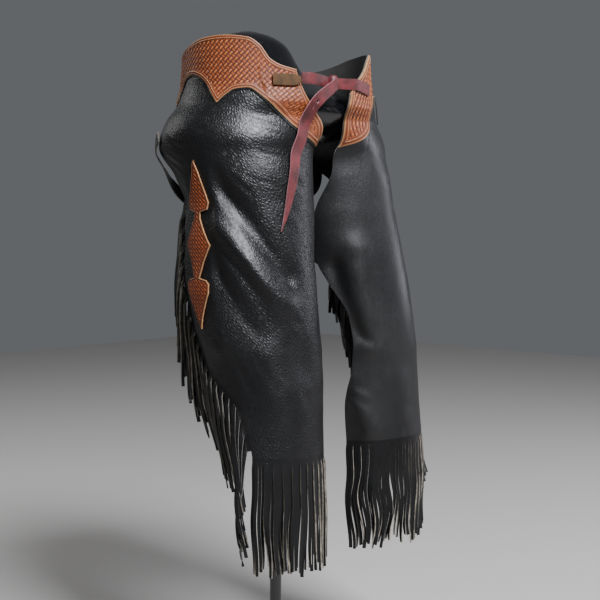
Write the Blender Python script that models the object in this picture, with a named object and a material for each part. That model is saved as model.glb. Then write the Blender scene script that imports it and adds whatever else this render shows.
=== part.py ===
"""Short leather chaps with fringed edges, worn on a limbless hip form that stands on a pole.

The wearer faces -Y and the wearer's right is -X. The floor is at z = 0 and the pole stands on the
Z axis. Each leg is one leather panel that bends round the thigh and is open behind it. The panel's
level sections come from a short table, and the yoke, the applique, the straps and the fringe are
worked out from the panel's own points, moved out.
"""
import math

import bmesh
import bpy
from mathutils import Vector

# Sides of the wearer, as the sign of X
RIGHT = -1
LEFT = 1

# Driving sizes, in metres
SEAM_GAP = 0.0003
LEG_LEATHER = 0.0022
YOKE_LEATHER = 0.0030
APPLIQUE_LEATHER = 0.0024
LATIGO_LEATHER = 0.0026
STRAP_LEATHER = 0.0024
HEM_HEIGHT = 0.403
HEM_CLIMB = 0.010
FRINGE_TOP = 0.802
FRINGE_STOP = 0.423
FRINGE_STRIP = 0.006
FRINGE_LENGTH = 0.166
FRINGE_WIDTH = 0.0050
FRINGE_LEATHER = 0.0020
OUTER_STRANDS = 54
HEM_STRANDS = 30
STRAND_JOINTS = 3
STRAND_LAYERS = 4
STEEP_THINNING = 0.45
HEM_LAYER = 0.0015
POLE_RADIUS = 0.010
FOOT_RADIUS = 0.150
FOOT_THICKNESS = 0.014
BAND_WIDTH = 0.018
BAND_HEIGHT = 0.991
TAIL_WIDTH = 0.023
BACK_STRAP_HEIGHT = 1.006
BACK_STRAP_WIDTH = 0.024
STRAP_SEAT = 0.0018

# How finely the panels are divided
LEG_ROWS = 20
YOKE_ROWS = 4

# Level sections of a leg panel: part of an ellipse, from the inner edge past the front to the outer
# edge. Turns are degrees from straight ahead, positive towards the outer side of the leg.
SECTION_COLUMNS = ("height", "centre_out", "centre_front", "half_width", "half_depth", "inner", "outer")
SECTIONS = (
    (0.395, 0.128, 0.116, 0.085, 0.078, -84, 62),
    (0.450, 0.125, 0.108, 0.087, 0.082, -79, 66),
    (0.489, 0.123, 0.101, 0.089, 0.087, -71, 72),
    (0.517, 0.121, 0.095, 0.091, 0.091, -63, 89),
    (0.544, 0.120, 0.089, 0.093, 0.093, -58, 107),
    (0.570, 0.119, 0.083, 0.096, 0.096, -54, 115),
    (0.610, 0.117, 0.072, 0.101, 0.102, -53, 119),
    (0.667, 0.114, 0.060, 0.104, 0.105, -66, 120),
    (0.707, 0.112, 0.054, 0.102, 0.104, -75, 120),
    (0.750, 0.107, 0.046, 0.104, 0.105, -73, 120),
    (0.790, 0.102, 0.039, 0.104, 0.106, -64, 120),
    (0.840, 0.099, 0.026, 0.109, 0.112, -45, 126),
    (0.886, 0.089, 0.002, 0.127, 0.127, -29, 144),
    (0.930, 0.035, 0.002, 0.172, 0.128, 0, 162),
    (0.957, 0.006, 0.008, 0.180, 0.137, 20, 170),
    (0.985, 0.000, 0.008, 0.178, 0.134, 26, 172),
    (1.005, 0.000, 0.008, 0.176, 0.132, 28, 172),
    (1.060, 0.000, 0.008, 0.172, 0.130, 29, 172),
)

# Top edge of the yoke: place across the panel, from 0 at the inner edge to 1 at the outer, and height
TOP_EDGE = (
    (0.00, 1.004),
    (0.06, 1.010),
    (0.10, 1.019),
    (0.14, 1.040),
    (0.19, 1.052),
    (0.30, 1.056),
    (0.40, 1.054),
    (0.52, 1.045),
    (0.60, 1.038),
    (0.80, 1.028),
    (1.00, 1.022),
)

# Scallops of the yoke's lower edge, from the front to the back: place across the panel and height
SCALLOPS = (
    (
        (0.000, 0.888),
        (0.088, 0.900),
        (0.141, 0.919),
        (0.155, 0.953),
        (0.209, 0.974),
        (0.263, 0.972),
        (0.300, 0.965),
        (0.357, 0.951),
    ),
    (
        (0.357, 0.951),
        (0.370, 0.967),
        (0.390, 0.983),
        (0.428, 0.994),
        (0.481, 0.999),
        (0.547, 0.993),
        (0.597, 0.975),
        (0.655, 0.955),
    ),
    (
        (0.655, 0.955),
        (0.730, 0.984),
        (0.860, 0.991),
        (1.000, 0.985),
    ),
)
WIDEST_COLUMN = 0.05

# Soft folds of a leg panel: a line from one turn and height to another, half its width, how far it
# stands out (a trough is below 0)
FOLD_COLUMNS = ("turn_a", "height_a", "turn_b", "height_b", "half_width", "rise")
FOLDS = {
    RIGHT: (
        (88, 0.835, 12, 0.655, 0.024, 0.0075),
        (72, 0.850, 4, 0.735, 0.022, -0.0050),
        (112, 0.800, 48, 0.610, 0.026, -0.0055),
        (120, 0.700, 84, 0.585, 0.022, 0.0040),
        (40, 0.560, 22, 0.430, 0.028, 0.0035),
        (4, 0.560, -24, 0.440, 0.024, -0.0035),
        (-50, 0.740, -38, 0.600, 0.020, -0.0050),
    ),
    LEFT: (
        (-34, 0.700, -36, 0.570, 0.020, 0.0065),
        (-58, 0.690, -47, 0.580, 0.014, -0.0060),
        (6, 0.860, 22, 0.560, 0.034, 0.0050),
        (64, 0.840, 52, 0.600, 0.030, -0.0050),
        (112, 0.820, 92, 0.600, 0.026, 0.0050),
        (-62, 0.470, -50, 0.425, 0.022, 0.0055),
        (10, 0.520, 24, 0.420, 0.026, -0.0035),
    ),
}

# Linked spearhead, diamond and spade of the applique: drop below the upper tip and half width
APPLIQUE_TOP = 0.862
APPLIQUE_OUTLINE = (
    (0.000, 0.0006),
    (0.022, 0.0070),
    (0.048, 0.0155),
    (0.066, 0.0214),
    (0.076, 0.0190),
    (0.080, 0.0056),
    (0.090, 0.0062),
    (0.108, 0.0150),
    (0.131, 0.0275),
    (0.156, 0.0150),
    (0.178, 0.0072),
    (0.184, 0.0172),
    (0.192, 0.0262),
    (0.204, 0.0252),
    (0.224, 0.0160),
    (0.243, 0.0068),
    (0.259, 0.0006),
)
APPLIQUE_TOP_TURN = 80
APPLIQUE_FOOT_TURN = 100
APPLIQUE_BEND = 0.45
APPLIQUE_LIFT = 0.0010
APPLIQUE_HOLD = 17

# Level rings of the hip form: height, half width, half depth, how far its centre is set back
FORM_RINGS = (
    (0.896, 0.030, 0.022, 0.004),
    (0.899, 0.080, 0.056, 0.004),
    (0.909, 0.130, 0.096, 0.002),
    (0.924, 0.160, 0.118, 0.000),
    (0.945, 0.1735, 0.128, -0.003),
    (0.965, 0.166, 0.120, 0.004),
    (0.990, 0.134, 0.092, 0.022),
    (1.017, 0.096, 0.067, 0.046),
    (1.040, 0.085, 0.059, 0.053),
    (1.066, 0.072, 0.051, 0.059),
    (1.082, 0.046, 0.034, 0.061),
    (1.090, 0.017, 0.013, 0.062),
)
FORM_SIDES = 32
FORM_CLEARANCE = 0.0006

# Way of the front tie's tail: turn, height, and lift off the leg panel
TAIL_WAY = (
    (4, 0.925, 0.0085),
    (1, 0.898, 0.0085),
    (1, 0.872, 0.0078),
    (3, 0.845, 0.0066),
    (8, 0.812, 0.0056),
    (13, 0.782, 0.0048),
    (18, 0.752, 0.0042),
)

# Way of the thigh strap behind the leg: turn, height, lift off the leg's section
THIGH_WAY = (
    (118, 0.902, 0.0050),
    (124, 0.893, 0.0056),
    (130, 0.875, 0.0085),
    (136, 0.852, 0.0112),
    (143, 0.830, 0.0110),
    (155, 0.812, 0.0080),
    (175, 0.792, 0.0050),
    (-160, 0.770, 0.0000),
    (-130, 0.745, -0.0120),
    (-102, 0.722, -0.0240),
    (-81, 0.708, -0.0200),
    (-68, 0.702, -0.0080),
)
THIGH_STRAP_WIDTH = 0.020

# Where the thigh strap is sewn inside the leg's inner edge, past that leg's own folds
THIGH_SEAT = {
    RIGHT: (-61, 0.700, -0.0038),
    LEFT: (-61, 0.700, -0.0020),
}

# How the outer fringe hangs: height of its root, lean forward, lean out, step between its layers
FRINGE_HANG = (
    (0.400, 0.06, 0.00, 0.0024),
    (0.460, 0.20, 0.00, 0.0026),
    (0.530, 0.36, 0.00, 0.0026),
    (0.575, 0.38, 0.00, 0.0028),
    (0.620, 0.28, 0.01, 0.0034),
    (0.700, 0.10, 0.02, 0.0036),
    (0.810, 0.04, 0.03, 0.0036),
)


def add_material(name, colour, roughness, metallic=0.0):
    """Returns a Principled material in the given linear colour."""
    material = bpy.data.materials.new(name)
    material.use_nodes = True
    shader = material.node_tree.nodes["Principled BSDF"]
    shader.inputs["Base Color"].default_value = (*colour, 1.0)
    shader.inputs["Roughness"].default_value = roughness
    shader.inputs["Metallic"].default_value = metallic
    return material


def add_object(name, points, faces, material):
    """Makes one closed body of the points and faces, with its faces pointing out."""
    shape = bmesh.new()
    corners = [shape.verts.new(point) for point in points]
    for face in faces:
        shape.faces.new([corners[index] for index in face])
    bmesh.ops.recalc_face_normals(shape, faces=shape.faces)
    mesh = bpy.data.meshes.new(name)
    shape.to_mesh(mesh)
    shape.free()
    mesh.materials.append(material)
    mesh.shade_smooth()
    mesh.set_sharp_from_angle(angle=math.radians(40))
    placed = bpy.data.objects.new(name, mesh)
    bpy.context.collection.objects.link(placed)
    return placed


def smooth_value(places, values, place):
    """Reads a curve through the rows of a table that never swings past them."""
    if place <= places[0]:
        return values[0]
    if place >= places[-1]:
        return values[-1]
    slopes = [(b - a) / (q - p) for a, b, p, q in zip(values, values[1:], places, places[1:])]

    def tangent(index):
        if index in (0, len(places) - 1):
            return slopes[min(index, len(slopes) - 1)]
        before, after = slopes[index - 1], slopes[index]
        return 2 * before * after / (before + after) if before * after > 0 else 0.0

    row = max(i for i in range(len(places) - 1) if places[i] <= place)
    span = places[row + 1] - places[row]
    t = (place - places[row]) / span
    start = (1 + 2 * t) * (1 - t) ** 2 * values[row] + t * (1 - t) ** 2 * span * tangent(row)
    end = t * t * (3 - 2 * t) * values[row + 1] - t * t * (1 - t) * span * tangent(row + 1)
    return start + end


def table_value(table, column, place):
    """Reads one column of a table at a place in its first column."""
    return smooth_value([row[0] for row in table], [row[column] for row in table], place)


def section(height):
    """Returns the leg section at a height, as a dictionary of the table's columns."""
    return {name: table_value(SECTIONS, i, height) for i, name in enumerate(SECTION_COLUMNS) if i}


def edge_distance(turn, height, fold, radius):
    """Returns how far a point lies from a fold's line, in metres along the panel."""
    ax = math.radians(fold["turn_a"] - fold["turn_b"]) * radius
    az = fold["height_a"] - fold["height_b"]
    px = math.radians(turn - fold["turn_b"]) * radius
    pz = height - fold["height_b"]
    share = (px * ax + pz * az) / (ax * ax + az * az)
    share = min(1.0, max(0.0, share))
    return math.hypot(px - ax * share, pz - az * share)


def applique_turn(height):
    """Returns the turn of the applique's middle line at a height."""
    share = (APPLIQUE_TOP - height) / APPLIQUE_OUTLINE[-1][0]
    share = min(1.0, max(0.0, share))
    return APPLIQUE_TOP_TURN + (APPLIQUE_FOOT_TURN - APPLIQUE_TOP_TURN) * share ** APPLIQUE_BEND


def fold_share(turn, height):
    """Returns 0 under the stiff applique, which holds the panel smooth, and 1 well away from it."""
    beside = (abs(turn - applique_turn(height)) - APPLIQUE_HOLD) / APPLIQUE_HOLD
    beyond = (abs(height - APPLIQUE_TOP + APPLIQUE_OUTLINE[-1][0] / 2) - 0.135) / 0.03
    share = min(1.0, max(0.0, beside, beyond))
    return share * share * (3 - 2 * share)


def fold_rise(side, turn, height, radius):
    """Returns how far the soft folds push the panel out at a turn and height."""
    rise = 0.0
    for row in FOLDS[side]:
        fold = dict(zip(FOLD_COLUMNS, row))
        share = edge_distance(turn, height, fold, radius) / fold["half_width"]
        rise += fold["rise"] * math.exp(-share * share)
    return rise * fold_share(turn, height)


def turned_point(side, turn, height, lift=0.0, folded=True):
    """Returns the point of a leg section at a turn in degrees, lifted off the panel's middle."""
    row = section(height)
    angle = math.radians(turn)
    out, front = math.sin(angle), math.cos(angle)
    normal = Vector((out / row["half_width"], front / row["half_depth"], 0.0)).normalized()
    if folded:
        lift += fold_rise(side, turn, height, row["half_width"])
    x = row["centre_out"] + row["half_width"] * out + normal.x * lift
    y = row["centre_front"] + row["half_depth"] * front + normal.y * lift
    return Vector((side * x, -y, height))


def panel_point(side, across, height, lift=0.0):
    """Returns a panel's point from 0 at its inner edge to 1 at its outer edge."""
    row = section(height)
    return turned_point(side, row["inner"] + (row["outer"] - row["inner"]) * across, height, lift)


def yoke_top(across):
    """Returns the height of the yoke's top edge."""
    return table_value(TOP_EDGE, 1, across)


def yoke_foot(across):
    """Returns the height of the yoke's scalloped lower edge."""
    for scallop in SCALLOPS:
        if across <= scallop[-1][0]:
            break
    return table_value(scallop, 1, across)


def hem_height(across):
    """Returns the height of the hem, which climbs a little towards the outer edge."""
    return HEM_HEIGHT + HEM_CLIMB * across


def wall_faces(grid):
    """Returns the faces of a closed wall: an outer grid, an inner grid and the four edges.

    Each square is split along the diagonal that is nearer to level, in both grids alike, so a wall
    that lies on another stays clear of it.
    """
    columns, rows = len(grid), len(grid[0])
    size = columns * rows

    def outer(i, j):
        return i * rows + j

    faces = []
    for i in range(columns - 1):
        for j in range(rows - 1):
            a, b = outer(i, j), outer(i + 1, j)
            climbs = grid[i + 1][j].z > grid[i][j].z
            halves = ((a, b, a + 1), (b, b + 1, a + 1)) if climbs else ((a, b, b + 1), (a, b + 1, a + 1))
            for triangle in halves:
                faces.append(triangle)
                faces.append(tuple(size + corner for corner in reversed(triangle)))
    for i in range(columns - 1):
        for j in (0, rows - 1):
            a, b = outer(i, j), outer(i + 1, j)
            faces.append((a, b, size + b, size + a))
    for j in range(rows - 1):
        for i in (0, columns - 1):
            a, b = outer(i, j), outer(i, j + 1)
            faces.append((a, b, size + b, size + a))
    return faces


def add_wall(name, outer_grid, inner_grid, material):
    """Makes a closed wall between two grids of points, given column by column."""
    points = [point for column in outer_grid for point in column]
    points += [point for column in inner_grid for point in column]
    faces = wall_faces(outer_grid)
    return add_object(name, points, faces, material)


def yoke_heights(across):
    """Returns the heights of the yoke's rows at a place across the panel."""
    foot, top = yoke_foot(across), yoke_top(across)
    return [foot + (top - foot) * j / YOKE_ROWS for j in range(YOKE_ROWS + 1)]


def column_places():
    """Returns the places of the panel's columns, with one at each row of the scallops' tables."""
    places = []
    for scallop in SCALLOPS:
        for (start, _), (end, _) in zip(scallop, scallop[1:]):
            parts = math.ceil((end - start) / WIDEST_COLUMN)
            places += [start + (end - start) * k / parts for k in range(parts)]
    return places + [1.0]


def panel_grid(side, heights_at, lift):
    """Returns a grid of panel points, one column for each place across."""
    return [[panel_point(side, a, z, lift) for z in heights_at(a)] for a in column_places()]


def leg_heights(across):
    """Returns the heights of the leg panel's rows, which share the yoke's rows above its foot."""
    foot, hem = yoke_foot(across), hem_height(across)
    below = [hem + (foot - hem) * j / LEG_ROWS for j in range(LEG_ROWS)]
    return below + yoke_heights(across)


def add_leg(side, name, material):
    """Makes a leg panel."""
    half = LEG_LEATHER / 2
    outer = panel_grid(side, leg_heights, half)
    inner = panel_grid(side, leg_heights, -half)
    return add_wall(name, outer, inner, material)


def add_yoke(side, name, material):
    """Makes a yoke that lies on the leg panel."""
    under = LEG_LEATHER / 2 + SEAM_GAP
    outer = panel_grid(side, yoke_heights, under + YOKE_LEATHER)
    inner = panel_grid(side, yoke_heights, under)
    return add_wall(name, outer, inner, material)


def add_applique(side, name, material):
    """Makes the linked spearhead, diamond and spade on the outer thigh."""

    def grid(lift):
        rows = []
        for drop, half_width in APPLIQUE_OUTLINE:
            height = APPLIQUE_TOP - drop
            middle = applique_turn(height)
            reach = math.degrees(half_width / section(height)["half_width"])
            rows.append([turned_point(side, middle + reach * k, height, lift) for k in (-1, -0.5, 0, 0.5, 1)])
        return rows

    under = LEG_LEATHER / 2 + APPLIQUE_LIFT
    return add_wall(name, grid(under + APPLIQUE_LEATHER), grid(under), material)


def add_strap(name, middles, normals, widths, leather, material):
    """Makes a flat strap along middle points, whose faces look along the normals."""
    outer, inner = [], []
    for i, (middle, normal, width) in enumerate(zip(middles, normals, widths)):
        along = (middles[min(i + 1, len(middles) - 1)] - middles[max(i - 1, 0)]).normalized()
        across = along.cross(normal).normalized()
        up = across.cross(along).normalized()
        for rows, lift in ((outer, leather / 2), (inner, -leather / 2)):
            rows.append([middle + across * width * k / 2 + up * lift for k in (-1, 1)])
    return add_wall(name, outer, inner, material)


def surface_normal(side, turn, height):
    """Returns the level direction out of a leg section at a turn."""
    step = turned_point(side, turn, height, 1.0, False) - turned_point(side, turn, height, 0.0, False)
    return step.normalized()


def add_form(name, material, panel_insides):
    """Makes the hip form, as large as the panels' inner faces let it be at the hips."""
    scale = math.inf
    for point in panel_insides:
        if FORM_RINGS[0][0] < point.z < FORM_RINGS[-1][0]:
            half_width = table_value(FORM_RINGS, 1, point.z) + FORM_CLEARANCE
            half_depth = table_value(FORM_RINGS, 2, point.z) + FORM_CLEARANCE
            back = table_value(FORM_RINGS, 3, point.z)
            reach = math.hypot(point.x / half_width, (point.y - back) / half_depth)
            scale = min(scale, reach)
    points, faces = [], []
    for height, half_width, half_depth, back in FORM_RINGS:
        for k in range(FORM_SIDES):
            angle = 2 * math.pi * k / FORM_SIDES
            x = half_width * scale * math.cos(angle)
            y = back + half_depth * scale * math.sin(angle)
            points.append(Vector((x, y, height)))
    for ring in range(len(FORM_RINGS) - 1):
        for k in range(FORM_SIDES):
            a = ring * FORM_SIDES + k
            b = ring * FORM_SIDES + (k + 1) % FORM_SIDES
            faces.append((a, b, b + FORM_SIDES, a + FORM_SIDES))
    last = (len(FORM_RINGS) - 1) * FORM_SIDES
    faces.append(tuple(range(FORM_SIDES)))
    faces.append(tuple(last + k for k in range(FORM_SIDES)))
    return add_object(name, points, faces, material)


def add_turned(name, profile, sides, material):
    """Turns a profile of radius and height round the Z axis."""
    points, faces = [], []
    for radius, height in profile:
        for k in range(sides):
            angle = 2 * math.pi * k / sides
            points.append(Vector((radius * math.cos(angle), radius * math.sin(angle), height)))
    for ring in range(len(profile) - 1):
        for k in range(sides):
            a = ring * sides + k
            b = ring * sides + (k + 1) % sides
            faces.append((a, b, b + sides, a + sides))
    last = (len(profile) - 1) * sides
    faces.append(tuple(range(sides)))
    faces.append(tuple(last + k for k in range(sides)))
    return add_object(name, points, faces, material)


def point_on_line(corners, height):
    """Returns the point at a height on a line of straight runs that climbs from corner to corner."""
    for low, high in zip(corners, corners[1:]):
        if height <= high.z:
            return low.lerp(high, (height - low.z) / (high.z - low.z))
    return corners[-1]


def outer_edge_stations(side):
    """Returns points along the outer edge with the edge's own directions, further apart where it
    is steep and its strands hang over each other."""
    steps = 400
    heights = [FRINGE_TOP + (FRINGE_STOP - FRINGE_TOP) * i / steps for i in range(steps + 1)]
    corners = [panel_point(side, 1.0, height) for height in leg_heights(1.0)]
    line = [point_on_line(corners, height) for height in heights]
    lengths = [0.0]
    for a, b in zip(line, line[1:]):
        steep = abs(b.z - a.z) / (b - a).length
        lengths.append(lengths[-1] + (b - a).length * (1.0 - STEEP_THINNING * steep ** 4))
    stations = []
    for k in range(2 * OUTER_STRANDS):
        pair, second = divmod(k, 2)
        goal = lengths[-1] * (pair + (0.6 if second else 0.0)) / (OUTER_STRANDS - 0.4)
        i = min(range(len(lengths)), key=lambda n: abs(lengths[n] - goal))
        before, after = line[max(i - 4, 0)], line[min(i + 4, steps)]
        along = (after - before).normalized()
        normal = surface_normal(side, section(heights[i])["outer"], heights[i])
        normal = (normal - along * normal.dot(along)).normalized()
        away = along.cross(normal) * -side
        stations.append((line[i], normal, away.normalized()))
    return stations


def hem_stations(side):
    """Returns points along the hem, with the hem's own directions."""
    stations = []
    pitch = 1.0 / (HEM_STRANDS - 1 + 0.62)
    for k in range(2 * HEM_STRANDS):
        pair, second = divmod(k, 2)
        across = min(1.0, pair * pitch + (0.62 * pitch if second else 0.0))
        height = hem_height(across)
        row = section(height)
        turn = row["inner"] + (row["outer"] - row["inner"]) * across
        point = panel_point(side, across, height)
        stations.append((point, surface_normal(side, turn, height), Vector((0, 0, -1))))
    return stations


def strand_middles(root, away, normal, number, length):
    """Returns the middle points of a strand that leaves its root and turns down under gravity."""
    level = Vector((away.x, away.y, 0.0))
    if level.length > 0:
        lean, out_lean, step = (table_value(FRINGE_HANG, column, root.z) for column in (1, 2, 3))
        layers = STRAND_LAYERS
    else:
        lean, out_lean, step, layers = 0.0, 0.0, HEM_LAYER, 2
    layer = (number % layers + 0.5) * step
    sway = math.sin(number * 0.37) * 0.004
    side_step = Vector((-normal.y, normal.x, 0.0))
    middles = []
    point = root
    for joint in range(1, STRAND_JOINTS + 1):
        share = joint / STRAND_JOINTS
        pull = Vector((0, -lean, -1)) + level * 0.30 * (1 - share) + normal * out_lean
        point = point + pull.normalized() * length / STRAND_JOINTS
        out = layer * math.sin(0.5 * math.pi * min(1.0, 0.35 + share))
        middles.append(point + normal * out + side_step * sway * share * share)
    return middles


def add_fringe(name, stations, material):
    """Makes a narrow strip beside a cut edge and the strands that hang from it, as one body."""
    half = FRINGE_LEATHER / 2
    points, faces = [], []
    for point, normal, away in stations:
        near = point + away * SEAM_GAP
        far = point + away * (SEAM_GAP + FRINGE_STRIP)
        points += [near + normal * half, near - normal * half, far + normal * half, far - normal * half]
    for k in range(len(stations) - 1):
        a, b = 4 * k, 4 * (k + 1)
        faces += [(a, b, b + 2, a + 2), (a + 1, a + 3, b + 3, b + 1), (a, a + 1, b + 1, b)]
        if k % 2:
            faces.append((a + 2, b + 2, b + 3, a + 3))
    last = 4 * (len(stations) - 1)
    faces += [(0, 2, 3, 1), (last, last + 1, last + 3, last + 2)]
    for k in range(0, len(stations), 2):
        number = k // 2
        ring = [4 * k + 2, 4 * k + 6, 4 * k + 7, 4 * k + 3]
        root = (points[ring[0]] + points[ring[2]]) / 2
        normal, away = stations[k][1], stations[k][2]
        length = FRINGE_LENGTH * (1 + 0.05 * math.sin(number * 1.9) + 0.03 * math.sin(number * 5.3))
        middles = strand_middles(root, away, normal, number, length)
        edge = (points[ring[1]] - points[ring[0]]).normalized()
        before = root
        for joint, middle in enumerate(middles):
            along = (middle - before).normalized()
            face = (normal - along * normal.dot(along)).normalized()
            across = along.cross(face)
            across = across if across.dot(edge) > 0 else -across
            width = FRINGE_WIDTH * (1.0 - 0.12 * joint)
            start = len(points)
            points += [middle - across * width / 2 + face * half, middle + across * width / 2 + face * half]
            points += [middle + across * width / 2 - face * half, middle - across * width / 2 - face * half]
            new_ring = list(range(start, start + 4))
            for i in range(4):
                faces.append((ring[i], ring[(i + 1) % 4], new_ring[(i + 1) % 4], new_ring[i]))
            ring = new_ring
            before = middle
        faces.append(tuple(ring))
    return add_object(name, points, faces, material)


def add_thigh_strap(side, name, material):
    """Makes the strap that closes the leg behind the thigh."""
    way = [*THIGH_WAY, THIGH_SEAT[side]]
    middles = [turned_point(side, turn, height, lift) for turn, height, lift in way]
    normals = [surface_normal(side, turn, height) for turn, height, _ in way]
    widths = [THIGH_STRAP_WIDTH] * len(way)
    return add_strap(name, middles, normals, widths, STRAP_LEATHER, material)


def add_tie(tan, latigo):
    """Makes the front tie: an end and two bands through the yokes, the knot and the tail."""
    on_yoke = LEG_LEATHER / 2 + SEAM_GAP + YOKE_LEATHER + STRAP_SEAT
    seated = on_yoke + LATIGO_LEATHER / 2
    height = 0.987
    turns = [41.5, 37.5, 33.5, 29.5, 26.2]
    middles = [turned_point(RIGHT, turn, height, seated) for turn in turns]
    normals = [surface_normal(RIGHT, turn, height) for turn in turns]
    add_strap("tie_end", middles, normals, [0.016, 0.017, 0.0175, 0.017, 0.010], LATIGO_LEATHER, tan)

    knot = Vector((-0.010, -0.1385, 0.988))
    front_normal = Vector((0, -1, 0))
    for side, word, turns in ((RIGHT, "right", (19.5, 22.5, 25.6)), (LEFT, "left", (19.5, 23.5, 27.5))):
        landing = [turned_point(side, turn, BAND_HEIGHT, seated) for turn in turns]
        beside = knot + Vector((side * 0.0100, 0, 0))
        way = [beside, beside.lerp(landing[0], 0.5) + front_normal * 0.001] + landing
        normals = [front_normal, front_normal]
        normals += [surface_normal(side, turn, BAND_HEIGHT) for turn in turns]
        add_strap(f"tie_band_{word}", way, normals, [BAND_WIDTH] * 5, LATIGO_LEATHER, latigo)

    add_knot("tie_knot", knot, latigo)

    tail_middles = [knot + Vector((-0.004, -0.0104, -0.003)), knot + Vector((-0.034, -0.0110, -0.034))]
    tail_middles += [turned_point(RIGHT, turn, z, lift) for turn, z, lift in TAIL_WAY]
    tail_normals = [front_normal, front_normal]
    tail_normals += [surface_normal(RIGHT, turn, z) for turn, z, _ in TAIL_WAY]
    tail_widths = [0.018, TAIL_WIDTH, TAIL_WIDTH, TAIL_WIDTH, TAIL_WIDTH, 0.021, 0.015, 0.009, 0.002]
    add_strap("tie_tail", tail_middles, tail_normals, tail_widths, LATIGO_LEATHER, latigo)


def add_knot(name, centre, material):
    """Makes the rounded wrap of the front knot."""
    rings, sides = 5, 10
    points, faces = [], []
    for ring in range(rings):
        lean = math.pi * (ring + 0.5) / rings
        reach, drop = math.sin(lean) ** 0.6, math.cos(lean)
        for k in range(sides):
            angle = 2 * math.pi * k / sides
            offset = Vector((0.0090 * reach * math.cos(angle), 0.0085 * reach * math.sin(angle), 0.0125 * drop))
            points.append(centre + offset)
    for ring in range(rings - 1):
        for k in range(sides):
            a = ring * sides + k
            b = ring * sides + (k + 1) % sides
            faces.append((a, b, b + sides, a + sides))
    last = (rings - 1) * sides
    faces.append(tuple(range(sides)))
    faces.append(tuple(last + k for k in range(sides)))
    add_object(name, points, faces, material)


def add_back_strap(material):
    """Makes the strap that joins the yokes across the centre back."""
    lift = LEG_LEATHER / 2 + SEAM_GAP + YOKE_LEATHER + STRAP_SEAT + STRAP_LEATHER / 2
    turns = (158, 164, 170, 176)
    middles = [turned_point(RIGHT, turn, BACK_STRAP_HEIGHT, lift) for turn in turns]
    normals = [surface_normal(RIGHT, turn, BACK_STRAP_HEIGHT) for turn in turns]
    middles += [Vector((-point.x, point.y, point.z)) for point in reversed(middles)]
    normals += [Vector((-normal.x, normal.y, normal.z)) for normal in reversed(normals)]
    widths = [BACK_STRAP_WIDTH] * len(middles)
    add_strap("back_strap", middles, normals, widths, STRAP_LEATHER, material)


def build():
    """Builds every piece of the chaps and their stand."""
    for old in list(bpy.data.objects):
        bpy.data.objects.remove(old, do_unlink=True)

    black = add_material("black_leather", (0.012, 0.012, 0.014), 0.42)
    russet = add_material("russet_leather", (0.42, 0.12, 0.035), 0.5)
    tan = add_material("tan_suede", (0.22, 0.13, 0.06), 0.8)
    latigo = add_material("burgundy_latigo", (0.17, 0.035, 0.045), 0.5)
    gloss = add_material("gloss_black", (0.006, 0.006, 0.007), 0.12)
    steel = add_material("black_painted_steel", (0.01, 0.01, 0.01), 0.35)

    insides = []
    for side, word in ((RIGHT, "right"), (LEFT, "left")):
        add_leg(side, f"leg_{word}", black)
        add_yoke(side, f"yoke_{word}", russet)
        add_applique(side, f"applique_{word}", russet)
        add_fringe(f"fringe_outer_{word}", outer_edge_stations(side), black)
        add_fringe(f"fringe_hem_{word}", hem_stations(side), black)
        add_thigh_strap(side, f"thigh_strap_{word}", black)
        for column in panel_grid(side, leg_heights, -LEG_LEATHER / 2):
            insides += column
    add_tie(tan, latigo)
    add_back_strap(black)
    add_form("dress_form", gloss, insides)

    form_foot = FORM_RINGS[0][0]
    pole = [(POLE_RADIUS, FOOT_THICKNESS + SEAM_GAP), (POLE_RADIUS, form_foot - SEAM_GAP)]
    add_turned("stand_pole", pole, 20, steel)
    rim = FOOT_THICKNESS * 0.3
    foot = [
        (FOOT_RADIUS, 0.0),
        (FOOT_RADIUS, FOOT_THICKNESS - rim),
        (FOOT_RADIUS - rim, FOOT_THICKNESS),
    ]
    add_turned("stand_foot", foot, 40, steel)


build()
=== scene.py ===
"""Looks of a pair of short fringed leather chaps on a hip form and its stand.

The leather panels are thin shells on the form of the frame's own panels, with their creases placed one
by one. The yokes and appliques carry a stamped basket weave, and the seams are rows of real stitches.
"""

import logging
import math
import random
from collections.abc import Sequence
from dataclasses import dataclass
from enum import Enum
from typing import Any

import bpy
import numpy as np
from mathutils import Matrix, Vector, noise

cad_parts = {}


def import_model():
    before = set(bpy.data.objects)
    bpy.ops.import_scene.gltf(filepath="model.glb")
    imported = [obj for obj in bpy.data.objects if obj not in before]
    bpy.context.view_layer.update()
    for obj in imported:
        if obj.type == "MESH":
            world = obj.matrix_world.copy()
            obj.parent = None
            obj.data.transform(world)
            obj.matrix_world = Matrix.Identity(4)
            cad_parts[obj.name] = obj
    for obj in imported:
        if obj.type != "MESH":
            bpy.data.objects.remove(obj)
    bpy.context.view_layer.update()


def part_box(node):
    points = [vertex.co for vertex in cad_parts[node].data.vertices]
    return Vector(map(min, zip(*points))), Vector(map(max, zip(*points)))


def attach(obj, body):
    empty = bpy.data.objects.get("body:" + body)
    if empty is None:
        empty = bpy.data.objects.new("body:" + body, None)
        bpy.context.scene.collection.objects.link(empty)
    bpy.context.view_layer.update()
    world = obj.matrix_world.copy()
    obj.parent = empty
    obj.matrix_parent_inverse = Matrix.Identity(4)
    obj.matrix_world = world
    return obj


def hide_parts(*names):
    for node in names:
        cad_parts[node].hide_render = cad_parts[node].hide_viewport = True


LOG = logging.getLogger("chaps")
BODY = "root"
MM = 0.001
Grid = list[list[Vector]]
Station = tuple[Vector, Vector, Vector]
Links = dict[str | int, Any]
Started = tuple[bpy.types.Material, bpy.types.NodeTree, bpy.types.Node, bpy.types.NodeSocket]

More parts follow.
